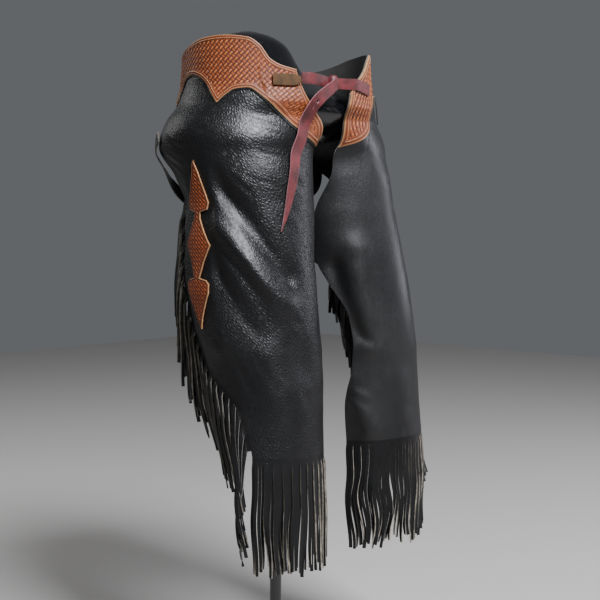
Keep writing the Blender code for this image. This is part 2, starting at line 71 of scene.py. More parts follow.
# Kinds of shader node that most finishes use, and the numbers of a colour mix's sockets
NOISE = "ShaderNodeTexNoise"
RANGE = "ShaderNodeMapRange"
BUMP = "ShaderNodeBump"
MATH = "ShaderNodeMath"
VECTOR_MATH = "ShaderNodeVectorMath"
MIX = "ShaderNodeMix"
FIRST_COLOUR = 6
SECOND_COLOUR = 7
MIXED_COLOUR = 2

# Sizes of the leather that the frame's solids have too, in metres
SEAM_GAP = 0.0003
LEG_LEATHER = 0.0022
YOKE_LEATHER = 0.0030
APPLIQUE_LEATHER = 0.0024
LATIGO_LEATHER = 0.0026
STRAP_LEATHER = 0.0024
STRAP_SEAT = 0.0018
HEM_HEIGHT = 0.403
HEM_CLIMB = 0.010

# Radius round which the yokes are laid flat
FLAT_RADIUS = 0.157

# Width of the rim that is pared to undyed leather
PARED_RIM = 0.0009

# Lifts off a leg panel's middle, of a yoke's underside and of its face
UNDER_YOKE = LEG_LEATHER / 2 + SEAM_GAP
ON_YOKE = UNDER_YOKE + YOKE_LEATHER

# Level sections of a leg panel, as in the frame's solids: height, centre out, centre front, half width,
# half depth, inner turn and outer turn. Turns are degrees from straight ahead
SECTIONS = (
    (0.395, 0.128, 0.116, 0.085, 0.078, -84, 62),
    (0.450, 0.125, 0.108, 0.087, 0.082, -79, 66),
    (0.489, 0.123, 0.101, 0.089, 0.087, -71, 72),
    (0.517, 0.121, 0.095, 0.091, 0.091, -63, 89),
    (0.544, 0.120, 0.089, 0.093, 0.093, -58, 107),
    (0.570, 0.119, 0.083, 0.096, 0.096, -54, 115),
    (0.610, 0.117, 0.072, 0.101, 0.102, -53, 119),
    (0.667, 0.114, 0.060, 0.104, 0.105, -66, 120),
    (0.707, 0.112, 0.054, 0.102, 0.104, -75, 120),
    (0.750, 0.107, 0.046, 0.104, 0.105, -73, 120),
    (0.790, 0.102, 0.039, 0.104, 0.106, -64, 120),
    (0.840, 0.099, 0.026, 0.109, 0.112, -45, 126),
    (0.886, 0.089, 0.002, 0.127, 0.127, -29, 144),
    (0.930, 0.035, 0.002, 0.172, 0.128, 0, 162),
    (0.957, 0.006, 0.008, 0.180, 0.137, 20, 170),
    (0.985, 0.000, 0.008, 0.178, 0.134, 26, 172),
    (1.005, 0.000, 0.008, 0.176, 0.132, 28, 172),
    (1.060, 0.000, 0.008, 0.172, 0.130, 29, 172),
)

# Top edge of the yoke: place across the panel, from 0 at the inner edge to 1 at the outer, and height
TOP_EDGE = (
    (0.00, 1.004),
    (0.06, 1.010),
    (0.10, 1.019),
    (0.14, 1.040),
    (0.19, 1.052),
    (0.30, 1.056),
    (0.40, 1.054),
    (0.52, 1.045),
    (0.60, 1.038),
    (0.80, 1.028),
    (1.00, 1.022),
)

# The left yoke's top edge is steeper towards its front, which reaches nearer to the middle
LEFT_TOP_EDGE = (
    (0.00, 0.990),
    (0.03, 1.002),
    (0.06, 1.018),
    (0.09, 1.036),
    (0.14, 1.047),
    (0.19, 1.052),
    *TOP_EDGE[5:],
)

# Turn of the left yoke's front edge at each height, in place of the sections' inner turn
LEFT_INNER = (
    (0.886, -29),
    (0.930, -3),
    (0.957, 5),
    (0.985, 11),
    (1.005, 16),
    (1.060, 27),
)

# Scallops of the yoke's lower edge, from the front to the back: place across the panel and height
SCALLOPS = (
    (
        (0.000, 0.888),
        (0.088, 0.900),
        (0.141, 0.919),
        (0.155, 0.953),
        (0.209, 0.974),
        (0.263, 0.972),
        (0.300, 0.965),
        (0.357, 0.951),
    ),
    (
        (0.357, 0.951),
        (0.370, 0.967),
        (0.390, 0.983),
        (0.428, 0.994),
        (0.481, 0.999),
        (0.547, 0.993),
        (0.597, 0.975),
        (0.655, 0.955),
    ),
    (
        (0.655, 0.955),
        (0.730, 0.984),
        (0.860, 0.991),
        (1.000, 0.985),
    ),
)


class Side(Enum):
    """A side of the wearer, with the sign of X there."""

    RIGHT = -1
    LEFT = 1

    @property
    def word(self) -> str:
        """Returns the side's name as nodes use it."""
        return self.name.lower()


# Large soft folds of each leg, as in the frame's solids: a line from one turn and height to another,
# half its width, and how far it stands out
FOLDS = {
    Side.RIGHT: (
        (90, 0.808, 18, 0.643, 0.021, 0.0085),
        (84, 0.860, 12, 0.682, 0.018, -0.0085),
        (112, 0.800, 48, 0.610, 0.026, -0.0055),
        (120, 0.700, 84, 0.585, 0.022, 0.0040),
        (40, 0.560, 22, 0.430, 0.028, 0.0035),
        (4, 0.560, -24, 0.440, 0.024, -0.0035),
        (-50, 0.740, -38, 0.600, 0.020, -0.0050),
    ),
    Side.LEFT: (
        (-36, 0.720, -36, 0.560, 0.024, 0.0050),
        (-58, 0.690, -47, 0.580, 0.016, -0.0055),
        (6, 0.860, 22, 0.560, 0.034, 0.0050),
        (64, 0.840, 52, 0.600, 0.030, -0.0050),
        (112, 0.820, 92, 0.600, 0.026, 0.0050),
        (-62, 0.470, -50, 0.425, 0.022, 0.0055),
        (10, 0.520, 24, 0.420, 0.026, -0.0035),
    ),
}

# Creases and pulls that are finer than the solids hold, in the same columns
CREASES = {
    Side.RIGHT: (
        (90, 0.800, 22, 0.646, 0.0100, 0.0016),
        (86, 0.828, 16, 0.664, 0.0070, 0.0010),
        (74, 0.760, 34, 0.640, 0.0090, -0.0016),
        (82, 0.740, 40, 0.610, 0.0100, 0.0014),
        (46, 0.927, 20, 0.912, 0.0026, -0.0008),
        (40, 0.831, 18, 0.823, 0.0028, -0.0007),
        (36, 0.912, 14, 0.900, 0.0026, -0.0006),
        (34, 0.874, 10, 0.866, 0.0030, -0.0006),
        (58, 0.842, 40, 0.806, 0.0044, -0.0007),
        (72, 0.826, 50, 0.776, 0.0050, -0.0007),
        (80, 0.806, 60, 0.758, 0.0045, -0.0006),
        (66, 0.782, 44, 0.722, 0.0050, -0.0006),
        (50, 0.786, 30, 0.742, 0.0050, -0.0006),
        (42, 0.758, 20, 0.706, 0.0050, -0.0006),
        (76, 0.742, 58, 0.692, 0.0045, -0.0006),
        (58, 0.706, 36, 0.652, 0.0050, -0.0007),
        (30, 0.712, 8, 0.664, 0.0050, -0.0006),
        (80, 0.700, 62, 0.648, 0.0050, -0.0006),
        (24, 0.640, 2, 0.606, 0.0060, -0.0005),
        (66, 0.640, 44, 0.594, 0.0060, -0.0005),
        (20, 0.790, -2, 0.764, 0.0070, 0.0007),
        (10, 0.846, -14, 0.812, 0.0064, -0.0010),
        (46, 0.560, 30, 0.500, 0.0080, -0.0004),
        (8, 0.520, -10, 0.468, 0.0080, -0.0005),
        (70, 0.560, 58, 0.512, 0.0070, -0.0009),
        (104, 0.895, 84, 0.872, 0.0060, -0.0014),
        (122, 0.880, 98, 0.846, 0.0060, -0.0012),
        (86, 0.925, 66, 0.905, 0.0045, -0.0006),
    ),
    Side.LEFT: (
        (-6, 0.880, 10, 0.858, 0.0070, -0.0006),
        (-52, 0.600, -36, 0.566, 0.0080, -0.0009),
        (-70, 0.482, -50, 0.464, 0.0070, -0.0010),
        (60, 0.880, 84, 0.850, 0.0080, -0.0009),
        (90, 0.780, 70, 0.730, 0.0080, -0.0008),
    ),
}

# Linked spearhead, diamond and spade of the applique: drop below the upper tip and half width
APPLIQUE_TOP = 0.862
APPLIQUE_OUTLINE = (
    (0.000, 0.0006),
    (0.022, 0.0070),
    (0.048, 0.0155),
    (0.066, 0.0214),
    (0.076, 0.0190),
    (0.080, 0.0056),
    (0.090, 0.0062),
    (0.108, 0.0150),
    (0.131, 0.0275),
    (0.156, 0.0150),
    (0.181, 0.0066),
    (0.184, 0.0208),
    (0.190, 0.0262),
    (0.204, 0.0252),
    (0.224, 0.0160),
    (0.243, 0.0068),
    (0.259, 0.0006),
)

# Turns of the applique's tips, how its middle line bends between them, its lift off the panel, and how
# far beside and beyond it the leather is held smooth: degrees and metres
APPLIQUE_TOP_TURN = 80
APPLIQUE_FOOT_TURN = 100
APPLIQUE_BEND = 0.45
APPLIQUE_LIFT = 0.0010
APPLIQUE_HOLD = 12
APPLIQUE_REACH = 0.135
APPLIQUE_FADE = 0.03

# Level rings of the hip form: height, half width, half depth, how far its centre is set back
FORM_RINGS = (
    (0.896, 0.030, 0.022, 0.004),
    (0.899, 0.080, 0.056, 0.004),
    (0.909, 0.130, 0.096, 0.002),
    (0.924, 0.160, 0.118, 0.000),
    (0.945, 0.1735, 0.128, -0.003),
    (0.965, 0.166, 0.120, 0.004),
    (0.990, 0.134, 0.092, 0.022),
    (1.017, 0.096, 0.067, 0.046),
    (1.040, 0.085, 0.059, 0.053),
    (1.066, 0.072, 0.051, 0.059),
    (1.082, 0.046, 0.034, 0.061),
    (1.090, 0.017, 0.013, 0.062),
)

# Way of the front tie's tail: steps from the knot, then turn, height, and lift off the leg panel
TAIL_STEPS = ((-0.004, -0.0104, -0.003), (-0.049, -0.0110, -0.033))
TAIL_WAY = (
    (10, 0.925, 0.0088),
    (1, 0.898, 0.0085),
    (1, 0.872, 0.0078),
    (3, 0.845, 0.0066),
    (8, 0.812, 0.0056),
    (13, 0.782, 0.0048),
    (18, 0.752, 0.0042),
)
TAIL_WIDTHS = (0.0165, 0.0205, 0.021, 0.021, 0.0207, 0.019, 0.0145, 0.0085, 0.0014)

# Way of the thigh strap behind the leg, and its seat inside the leg's inner edge
THIGH_WAY = (
    (118, 0.902, 0.0050),
    (124, 0.893, 0.0056),
    (130, 0.875, 0.0085),
    (136, 0.852, 0.0112),
    (143, 0.830, 0.0110),
    (155, 0.812, 0.0080),
    (175, 0.792, 0.0050),
    (-160, 0.770, 0.0000),
    (-130, 0.745, -0.0120),
    (-102, 0.722, -0.0240),
    (-81, 0.708, -0.0200),
    (-68, 0.702, -0.0080),
)
THIGH_SEAT = {Side.RIGHT: (-61, 0.700, -0.0038), Side.LEFT: (-61, 0.700, -0.0020)}

# Way of the black lace end that hangs below each yoke: turn, height, and lift off the leg panel
LACE_WAYS = {
    Side.RIGHT: ((140, 0.994, 0.0066), (140, 0.982, 0.0064), (142, 0.964, 0.0044), (145, 0.946, 0.0034)),
    Side.LEFT: ((43, 0.979, 0.0066), (44, 0.968, 0.0064), (46, 0.952, 0.0044), (48, 0.936, 0.0034)),
}

# How the outer fringe hangs: height of its root, lean forward, lean out, step between its layers
FRINGE_HANG = (
    (0.400, 0.06, 0.00, 0.0024),
    (0.460, 0.20, 0.00, 0.0026),
    (0.530, 0.36, 0.00, 0.0026),
    (0.575, 0.38, 0.00, 0.0028),
    (0.620, 0.28, 0.01, 0.0034),
    (0.700, 0.10, 0.02, 0.0036),
    (0.810, 0.04, 0.03, 0.0036),
)


def smooth_value(places: Sequence[float], values: Sequence[float], place: float) -> float:
    """Reads a curve through a table's rows that never swings past them.

    Args:
        places: the rows' places, rising.
        values: the rows' values.
        place: where to read.

    Returns:
        The value there.
    """
    if place <= places[0]:
        return values[0]
    if place >= places[-1]:
        return values[-1]
    slopes = [(b - a) / (q - p) for a, b, p, q in zip(values, values[1:], places, places[1:])]

    def tangent(index: int) -> float:
        """Returns the curve's slope at a row."""
        if index in (0, len(places) - 1):
            return slopes[min(index, len(slopes) - 1)]
        before, after = slopes[index - 1], slopes[index]
        return 2 * before * after / (before + after) if before * after > 0 else 0.0

    row = max(i for i in range(len(places) - 1) if places[i] <= place)
    span = places[row + 1] - places[row]
    t = (place - places[row]) / span
    start = (1 + 2 * t) * (1 - t) ** 2 * values[row] + t * (1 - t) ** 2 * span * tangent(row)
    end = t * t * (3 - 2 * t) * values[row + 1] - t * t * (1 - t) * span * tangent(row + 1)
    return start + end


def table_value(table: Sequence[Sequence[float]], column: int, place: float) -> float:
    """Returns one column of a table at a place in its first column."""
    return smooth_value([row[0] for row in table], [row[column] for row in table], place)


def ease(value: float) -> float:
    """Returns a share from 0 to 1 that starts and ends gently."""
    value = min(1.0, max(0.0, value))
    return value * value * (3 - 2 * value)


def linear(code: str) -> tuple[float, float, float, float]:
    """Turns an sRGB hex code to the linear colour that a shader takes."""
    parts = [int(code[i : i + 2], 16) / 255 for i in (1, 3, 5)]
    lit = [p / 12.92 if p <= 0.04045 else ((p + 0.055) / 1.055) ** 2.4 for p in parts]
    return (lit[0], lit[1], lit[2], 1.0)


def feed(tree: bpy.types.NodeTree, node: bpy.types.Node, links: Links) -> None:
    """Sets a node's inputs, each to a value, a socket or another node's first output."""
    for key, value in links.items():
        if isinstance(value, bpy.types.Node):
            value = value.outputs[0]
        if isinstance(value, bpy.types.NodeSocket):
            tree.links.new(value, node.inputs[key])
        else:
            node.inputs[key].default_value = value


def add_node(
    tree: bpy.types.NodeTree, kind: str, links: Links | None = None, **settings: Any
) -> bpy.types.Node:
    """Adds one node with its settings and inputs.

    Args:
        tree: the node tree.
        kind: the node's type.
        links: for each input, by name or number, what feed takes.
        **settings: the node's own properties.

    Returns:
        The node.
    """
    node = tree.nodes.new(kind)
    for name, value in settings.items():
        setattr(node, name, value)
    feed(tree, node, links or {})
    return node


def start_material(name: str) -> Started:
    """Returns a new material, its tree, its Principled shader and the place on the object."""
    material = bpy.data.materials.new(name)
    material.use_nodes = True
    tree = material.node_tree
    place = add_node(tree, "ShaderNodeTexCoord").outputs["Object"]
    return material, tree, tree.nodes["Principled BSDF"], place


def mottled(
    tree: bpy.types.NodeTree,
    noise_links: Links,
    span: tuple[float, float],
    colours: tuple[str, str],
    most: float = 1.0,
) -> tuple[bpy.types.Node, bpy.types.NodeSocket]:
    """Mixes two colours in soft patches.

    Args:
        tree: the node tree.
        noise_links: the inputs of the noise that makes the patches.
        span: the noise's values where the mix starts and ends.
        colours: both colours as sRGB hex codes.
        most: the largest share of the second colour.

    Returns:
        The noise's node and the mixed colour's socket.
    """
    patches = add_node(tree, NOISE, noise_links)
    fade = {"Value": patches, "From Min": span[0], "From Max": span[1], "To Max": most}
    share = add_node(tree, RANGE, fade)
    ends = {0: share, FIRST_COLOUR: linear(colours[0]), SECOND_COLOUR: linear(colours[1])}
    mixed = add_node(tree, MIX, ends, data_type="RGBA")
    return patches, mixed.outputs[MIXED_COLOUR]


@dataclass(frozen=True)
class GrainedLeather:
    """Dyed drum leather, shrunken so that its grain stands up in pebbles, with a light oil finish.

    The eye gets soft broad highlights that the pebbles break up, dust in the hollows and grey scuffs.
    """

    name: str
    base: str = "#070708"
    worn: str = "#2c2c2b"
    dust: str = "#2a2a29"
    pebble: float = 3.5 * MM
    pebble_depth: float = 0.60 * MM
    stretch: float = 0.55
    pull: tuple[float, float, float] = (0.344, -0.558, -0.755)
    roughness: float = 0.41
    scuff: float = 0.20
    scuff_height: float = 0.60
    matt: float = 0.08
    coat: float = 0.10
    specular: float = 0.27

    def build(self) -> bpy.types.Material:
        """Returns the material, whose pebbles are drawn at their real size."""
        material, tree, shader, place = start_material(self.name)
        hump = self._pebbles(tree, place)
        patches = add_node(tree, NOISE, {"Vector": place, "Scale": 9.0, "Detail": 4.0})
        fade = {"Value": patches, "From Min": 0.35, "From Max": 0.7, "To Min": 0.45}
        grain = add_node(tree, MATH, {0: hump, 1: add_node(tree, RANGE, fade)}, operation="MULTIPLY")
        raised = add_node(tree, BUMP, {"Height": grain, "Distance": self.pebble_depth, "Strength": 1.0})
        fine = add_node(tree, NOISE, {"Vector": place, "Scale": 2600.0, "Detail": 3.0})
        pores = {"Height": fine, "Distance": 0.03 * MM, "Strength": 0.5, "Normal": raised}
        feed(tree, shader, {"Normal": add_node(tree, BUMP, pores)})

        cracks = add_node(tree, RANGE, {"Value": hump, "From Max": 0.5, "To Min": 0.10, "To Max": 0.0})
        smears = add_node(tree, NOISE, {"Vector": place, "Scale": 26.0, "Detail": 6.0, "Roughness": 0.65})
        height = add_node(tree, "ShaderNodeSeparateXYZ", {"Vector": place}).outputs["Z"]
        start, end = self.scuff_height + 0.12, self.scuff_height - 0.08
        drop = add_node(tree, RANGE, {"Value": height, "From Min": start, "From Max": end, "To Min": 0.25})
        rubs = {"Value": smears, "From Min": 0.52, "From Max": 0.80, "To Max": self.scuff}
        rubbed = add_node(tree, RANGE, rubs)
        scuffs = add_node(tree, MATH, {0: rubbed, 1: drop}, operation="MULTIPLY")
        ends = {0: scuffs, FIRST_COLOUR: linear(self.base), SECOND_COLOUR: linear(self.worn)}
        worn = add_node(tree, MIX, ends, data_type="RGBA").outputs[MIXED_COLOUR]
        ends = {0: cracks, FIRST_COLOUR: worn, SECOND_COLOUR: linear(self.dust)}
        dusty = add_node(tree, MIX, ends, data_type="RGBA").outputs[MIXED_COLOUR]

        low, high = self.roughness - 0.06, self.roughness + 0.10
        shines = {"Value": patches, "From Min": 0.3, "From Max": 0.7, "To Min": low, "To Max": high}
        shine = add_node(tree, RANGE, shines)
        start, end = self.scuff_height + 0.10, self.scuff_height - 0.10
        lower = {"Value": height, "From Min": start, "From Max": end, "To Max": self.matt}
        matt = add_node(tree, RANGE, lower, interpolation_type="SMOOTHSTEP")
        dull = add_node(tree, MATH, {0: shine, 1: matt})
        feed(tree, shader, {"Base Color": dusty, "Roughness": add_node(tree, MATH, {0: dull, 1: scuffs})})
        feed(tree, shader, {"IOR": 1.5, "Specular IOR Level": self.specular})
        feed(tree, shader, {"Coat Weight": self.coat, "Coat Roughness": 0.30})
        return material

    def _pebbles(self, tree: bpy.types.NodeTree, place: bpy.types.NodeSocket) -> bpy.types.Node:
        """Returns the node of the pebbles' height, drawn out along the leather's pull."""
        warp = add_node(tree, NOISE, {"Vector": place, "Scale": 0.25 / self.pebble, "Detail": 2.0})
        wander = {0: warp.outputs["Color"], "Scale": 1.2 * self.pebble}
        shift = add_node(tree, VECTOR_MATH, wander, operation="SCALE")
        along = add_node(tree, VECTOR_MATH, {0: place, 1: self.pull}, operation="DOT_PRODUCT")
        reach = {0: along.outputs["Value"], 1: self.stretch - 1}
        drawn = add_node(tree, MATH, reach, operation="MULTIPLY")
        offset = add_node(tree, VECTOR_MATH, {0: self.pull, "Scale": drawn}, operation="SCALE")
        pulled = add_node(tree, VECTOR_MATH, {0: place, 1: offset})
        moved = add_node(tree, VECTOR_MATH, {0: pulled, 1: shift})
        spread = {"Vector": moved, "Scale": 1 / self.pebble, "Randomness": 0.9}
        cells = add_node(tree, "ShaderNodeTexVoronoi", spread, feature="DISTANCE_TO_EDGE")
        rounded = {"Value": cells.outputs["Distance"], "From Max": 0.46}
        return add_node(tree, RANGE, rounded, interpolation_type="SMOOTHSTEP")


@dataclass(frozen=True)
class StampedLeather:
    """Vegetable-tanned skirting, oiled russet and stamped, with antique stain left in the hollows.

    The mesh's relief attribute runs from 0 in the hollows to 1 on the crowns, and its rim attribute is 1
    where the edge is pared to the undyed leather.
    """

    name: str
    hollow: str = "#35120a"
    face: str = "#843f1a"
    crown: str = "#b96f3b"
    edge: str = "#91714c"
    roughness: float = 0.48

    def build(self) -> bpy.types.Material:
        """Returns the material, with fine pores at a third of a millimetre."""
        material, tree, shader, place = start_material(self.name)
        relief = add_node(tree, "ShaderNodeAttribute", attribute_name="relief").outputs["Fac"]
        rim = add_node(tree, "ShaderNodeAttribute", attribute_name="rim").outputs["Fac"]
        patches = add_node(tree, NOISE, {"Vector": place, "Scale": 30.0, "Detail": 5.0})
        ramp = add_node(tree, "ShaderNodeValToRGB", {"Fac": relief})
        ramp.color_ramp.elements[0].color = linear(self.hollow)
        ramp.color_ramp.elements[0].position = 0.05
        ramp.color_ramp.elements[1].color = linear(self.crown)
        ramp.color_ramp.elements.new(0.5).color = linear(self.face)
        shade = add_node(tree, RANGE, {"Value": patches, "From Min": 0.3, "From Max": 0.75, "To Max": 0.42})
        ends = {0: shade, FIRST_COLOUR: ramp, SECOND_COLOUR: linear(self.hollow)}
        aged = add_node(tree, MIX, ends, data_type="RGBA").outputs[MIXED_COLOUR]
        ends = {0: rim, FIRST_COLOUR: aged, SECOND_COLOUR: linear(self.edge)}
        pared = add_node(tree, MIX, ends, data_type="RGBA").outputs[MIXED_COLOUR]
        pores = add_node(tree, NOISE, {"Vector": place, "Scale": 3000.0, "Detail": 2.0})
        bump = add_node(tree, BUMP, {"Height": pores, "Distance": 0.05 * MM, "Strength": 0.7})
        dull, bright = self.roughness + 0.20, self.roughness - 0.06
        shine = add_node(tree, RANGE, {"Value": relief, "To Min": dull, "To Max": bright})
        feed(tree, shader, {"Base Color": pared, "Normal": bump, "Roughness": shine})
        feed(tree, shader, {"IOR": 1.5, "Specular IOR Level": 0.36})
        feed(tree, shader, {"Coat Weight": 0.05, "Coat Roughness": 0.34})
        return material


@dataclass(frozen=True)
class FibreLeather:
    """Raw fibre of leather: its flesh side, its cut edges or suede, which is matt and slightly mottled."""

    name: str
    base: str
    other: str
    mottle: float = 60.0
    fibre: float = 0.4 * MM
    depth: float = 0.10 * MM
    roughness: float = 0.88
    sheen: float = 0.25

    def build(self) -> bpy.types.Material:
        """Returns the material, whose fibres are drawn a little coarser than real ones so they show."""
        material, tree, shader, place = start_material(self.name)
        noise_links = {"Vector": place, "Scale": self.mottle, "Detail": 5.0, "Roughness": 0.6}
        _, colour = mottled(tree, noise_links, (0.32, 0.68), (self.base, self.other))
        fibre_links = {"Vector": place, "Scale": 1 / self.fibre, "Detail": 4.0, "Roughness": 0.7}
        fibres = add_node(tree, NOISE, fibre_links)
        bump = add_node(tree, BUMP, {"Height": fibres, "Distance": self.depth, "Strength": 1.0})
        feed(tree, shader, {"Base Color": colour, "Normal": bump, "Roughness": self.roughness})
        feed(tree, shader, {"Sheen Weight": self.sheen, "Sheen Roughness": 0.5})
        return material


@dataclass(frozen=True)
class LatigoLeather:
    """Alum-tanned latigo, dyed burgundy, waxy and bendable, lighter where it has been handled."""

    name: str
    base: str = "#38080b"
    handled: str = "#65191e"
    grain: float = 0.9 * MM
    roughness: float = 0.55

    def build(self) -> bpy.types.Material:
        """Returns the material, with a fine flat grain."""
        material, tree, shader, place = start_material(self.name)
        noise_links = {"Vector": place, "Scale": 45.0, "Detail": 6.0, "Roughness": 0.6}
        patches, colour = mottled(tree, noise_links, (0.38, 0.72), (self.base, self.handled))
        spread = {"Vector": place, "Scale": 1 / self.grain}
        cells = add_node(tree, "ShaderNodeTexVoronoi", spread, feature="DISTANCE_TO_EDGE")
        grain = {"Height": cells.outputs["Distance"], "Distance": 0.16 * MM, "Strength": 0.5}
        waxy, dry = self.roughness - 0.08, self.roughness + 0.12
        shine = add_node(tree, RANGE, {"Value": patches, "To Min": waxy, "To Max": dry})
        feed(tree, shader, {"Base Color": colour, "Normal": add_node(tree, BUMP, grain), "Roughness": shine})
        feed(tree, shader, {"Coat Weight": 0.05, "Coat Roughness": 0.40})
        return material


@dataclass(frozen=True)
class MouldedPlastic:
    """Glossy black ABS, blow moulded, with slight ripples and fine rubbed scratches."""

    name: str = "gloss_black_abs"
    base: str = "#08080a"

    def build(self) -> bpy.types.Material:
        """Returns the material."""
        material, tree, shader, place = start_material(self.name)
        ripple = add_node(tree, NOISE, {"Vector": place, "Scale": 22.0, "Detail": 1.0})
        bump = add_node(tree, BUMP, {"Height": ripple, "Distance": 0.8 * MM, "Strength": 0.6})
        rubbed = add_node(tree, NOISE, {"Vector": place, "Scale": 160.0, "Detail": 6.0})
        rubs = {"Value": rubbed, "From Min": 0.45, "From Max": 0.75, "To Min": 0.14, "To Max": 0.34}
        feed(tree, shader, {"Normal": bump, "Roughness": add_node(tree, RANGE, rubs)})
        feed(tree, shader, {"Base Color": linear(self.base), "IOR": 1.54})
        return material


@dataclass(frozen=True)
class PaintedSteel:
    """Mild steel tube and plate in baked black enamel, with an orange-peel skin and small rubs."""

    name: str = "black_enamel_steel"
    base: str = "#101010"
    rubbed: str = "#3c3a38"

    def build(self) -> bpy.types.Material:
        """Returns the material."""
        material, tree, shader, place = start_material(self.name)
        peel = add_node(tree, NOISE, {"Vector": place, "Scale": 500.0, "Detail": 1.0})
        bump = add_node(tree, BUMP, {"Height": peel, "Distance": 0.10 * MM, "Strength": 0.6})
        noise_links = {"Vector": place, "Scale": 60.0, "Detail": 8.0, "Roughness": 0.7}
        _, colour = mottled(tree, noise_links, (0.66, 0.78), (self.base, self.rubbed), most=0.6)
        feed(tree, shader, {"Base Color": colour, "Normal": bump, "Roughness": 0.32, "Coat Weight": 0.3})
        return material


@dataclass(frozen=True)
class WaxedThread:
    """Waxed linen thread, cream, laid in two plies that show as a slanting twist."""

    name: str = "cream_waxed_thread"
    base: str = "#b39a72"
    soiled: str = "#7d6242"

    def build(self) -> bpy.types.Material:
        """Returns the material."""
        material, tree, shader, place = start_material(self.name)
        noise_links = {"Vector": place, "Scale": 120.0, "Detail": 3.0}
        _, colour = mottled(tree, noise_links, (0.4, 0.7), (self.base, self.soiled))
        plies = {"Vector": place, "Scale": 900.0}
        twist = add_node(tree, "ShaderNodeTexWave", plies, bands_direction="DIAGONAL")
        bump = add_node(tree, BUMP, {"Height": twist.outputs["Fac"], "Distance": 0.1 * MM, "Strength": 0.6})
        feed(tree, shader, {"Base Color": colour, "Normal": bump, "Roughness": 0.55})
        return material


@dataclass(frozen=True)
class StudioFloor:
    """Matt pale paper of a photographer's sweep, with a faint tooth."""

    name: str = "pale_paper"
    base: str = "#b3b0ab"

    def build(self) -> bpy.types.Material:
        """Returns the material."""
        material, tree, shader, place = start_material(self.name)
        tooth = add_node(tree, NOISE, {"Vector": place, "Scale": 700.0, "Detail": 2.0})
        bump = add_node(tree, BUMP, {"Height": tooth, "Distance": 0.1 * MM, "Strength": 0.4})
        feed(tree, shader, {"Normal": bump, "Base Color": linear(self.base), "Roughness": 0.9})
        return material


class Finishes:
    """Every finish of the chaps and their stand, each built once."""

    def __init__(self) -> None:
        """Builds the materials."""
        self.pebbled = GrainedLeather("black_shrunken_leather").build()
        self.satin = GrainedLeather(
            "black_satin_leather",
            pebble=1.8 * MM,
            pebble_depth=0.22 * MM,
            stretch=1.0,
            roughness=0.40,
            matt=0.10,
            scuff=0.30,
            scuff_height=0.52,
            specular=0.42,
        ).build()
        self.strand = GrainedLeather(
            "black_fringe_leather",
            base="#050506",
            pebble=1.4 * MM,
            pebble_depth=0.12 * MM,
            stretch=1.0,
            roughness=0.42,
            matt=0.04,
            scuff=0.18,
            coat=0.04,
        ).build()
        self.flesh = FibreLeather("flesh_side", "#191a17", "#2c2c27", 38.0, sheen=0.04).build()
        self.cut_black = FibreLeather("cut_edge_of_dyed_leather", "#38342e", "#5e574c", 140.0).build()
        self.cut_outer = FibreLeather("cut_edge_of_outer_fringe", "#1f1d1a", "#5c564b", 90.0).build()
        self.cut_hem = FibreLeather("cut_edge_of_hem_fringe", "#3a3733", "#958c7c", 90.0).build()
        self.cut_tan = FibreLeather("cut_edge_of_skirting", "#74492a", "#ad7f51", 120.0, sheen=0.05).build()
        self.cut_latigo = FibreLeather("cut_edge_of_latigo", "#6e3440", "#9a6066", 120.0).build()
        self.suede = FibreLeather("tan_suede", "#33220b", "#503414", 70.0, fibre=0.5 * MM, sheen=0.08).build()
        self.russet = StampedLeather("stamped_russet_skirting").build()
        self.applique = StampedLeather("stamped_applique_leather", face="#8a3d17", crown="#b8642e").build()
        self.latigo = LatigoLeather("burgundy_latigo").build()
        self.plastic = MouldedPlastic().build()
        self.steel = PaintedSteel().build()
        self.thread = WaxedThread().build()


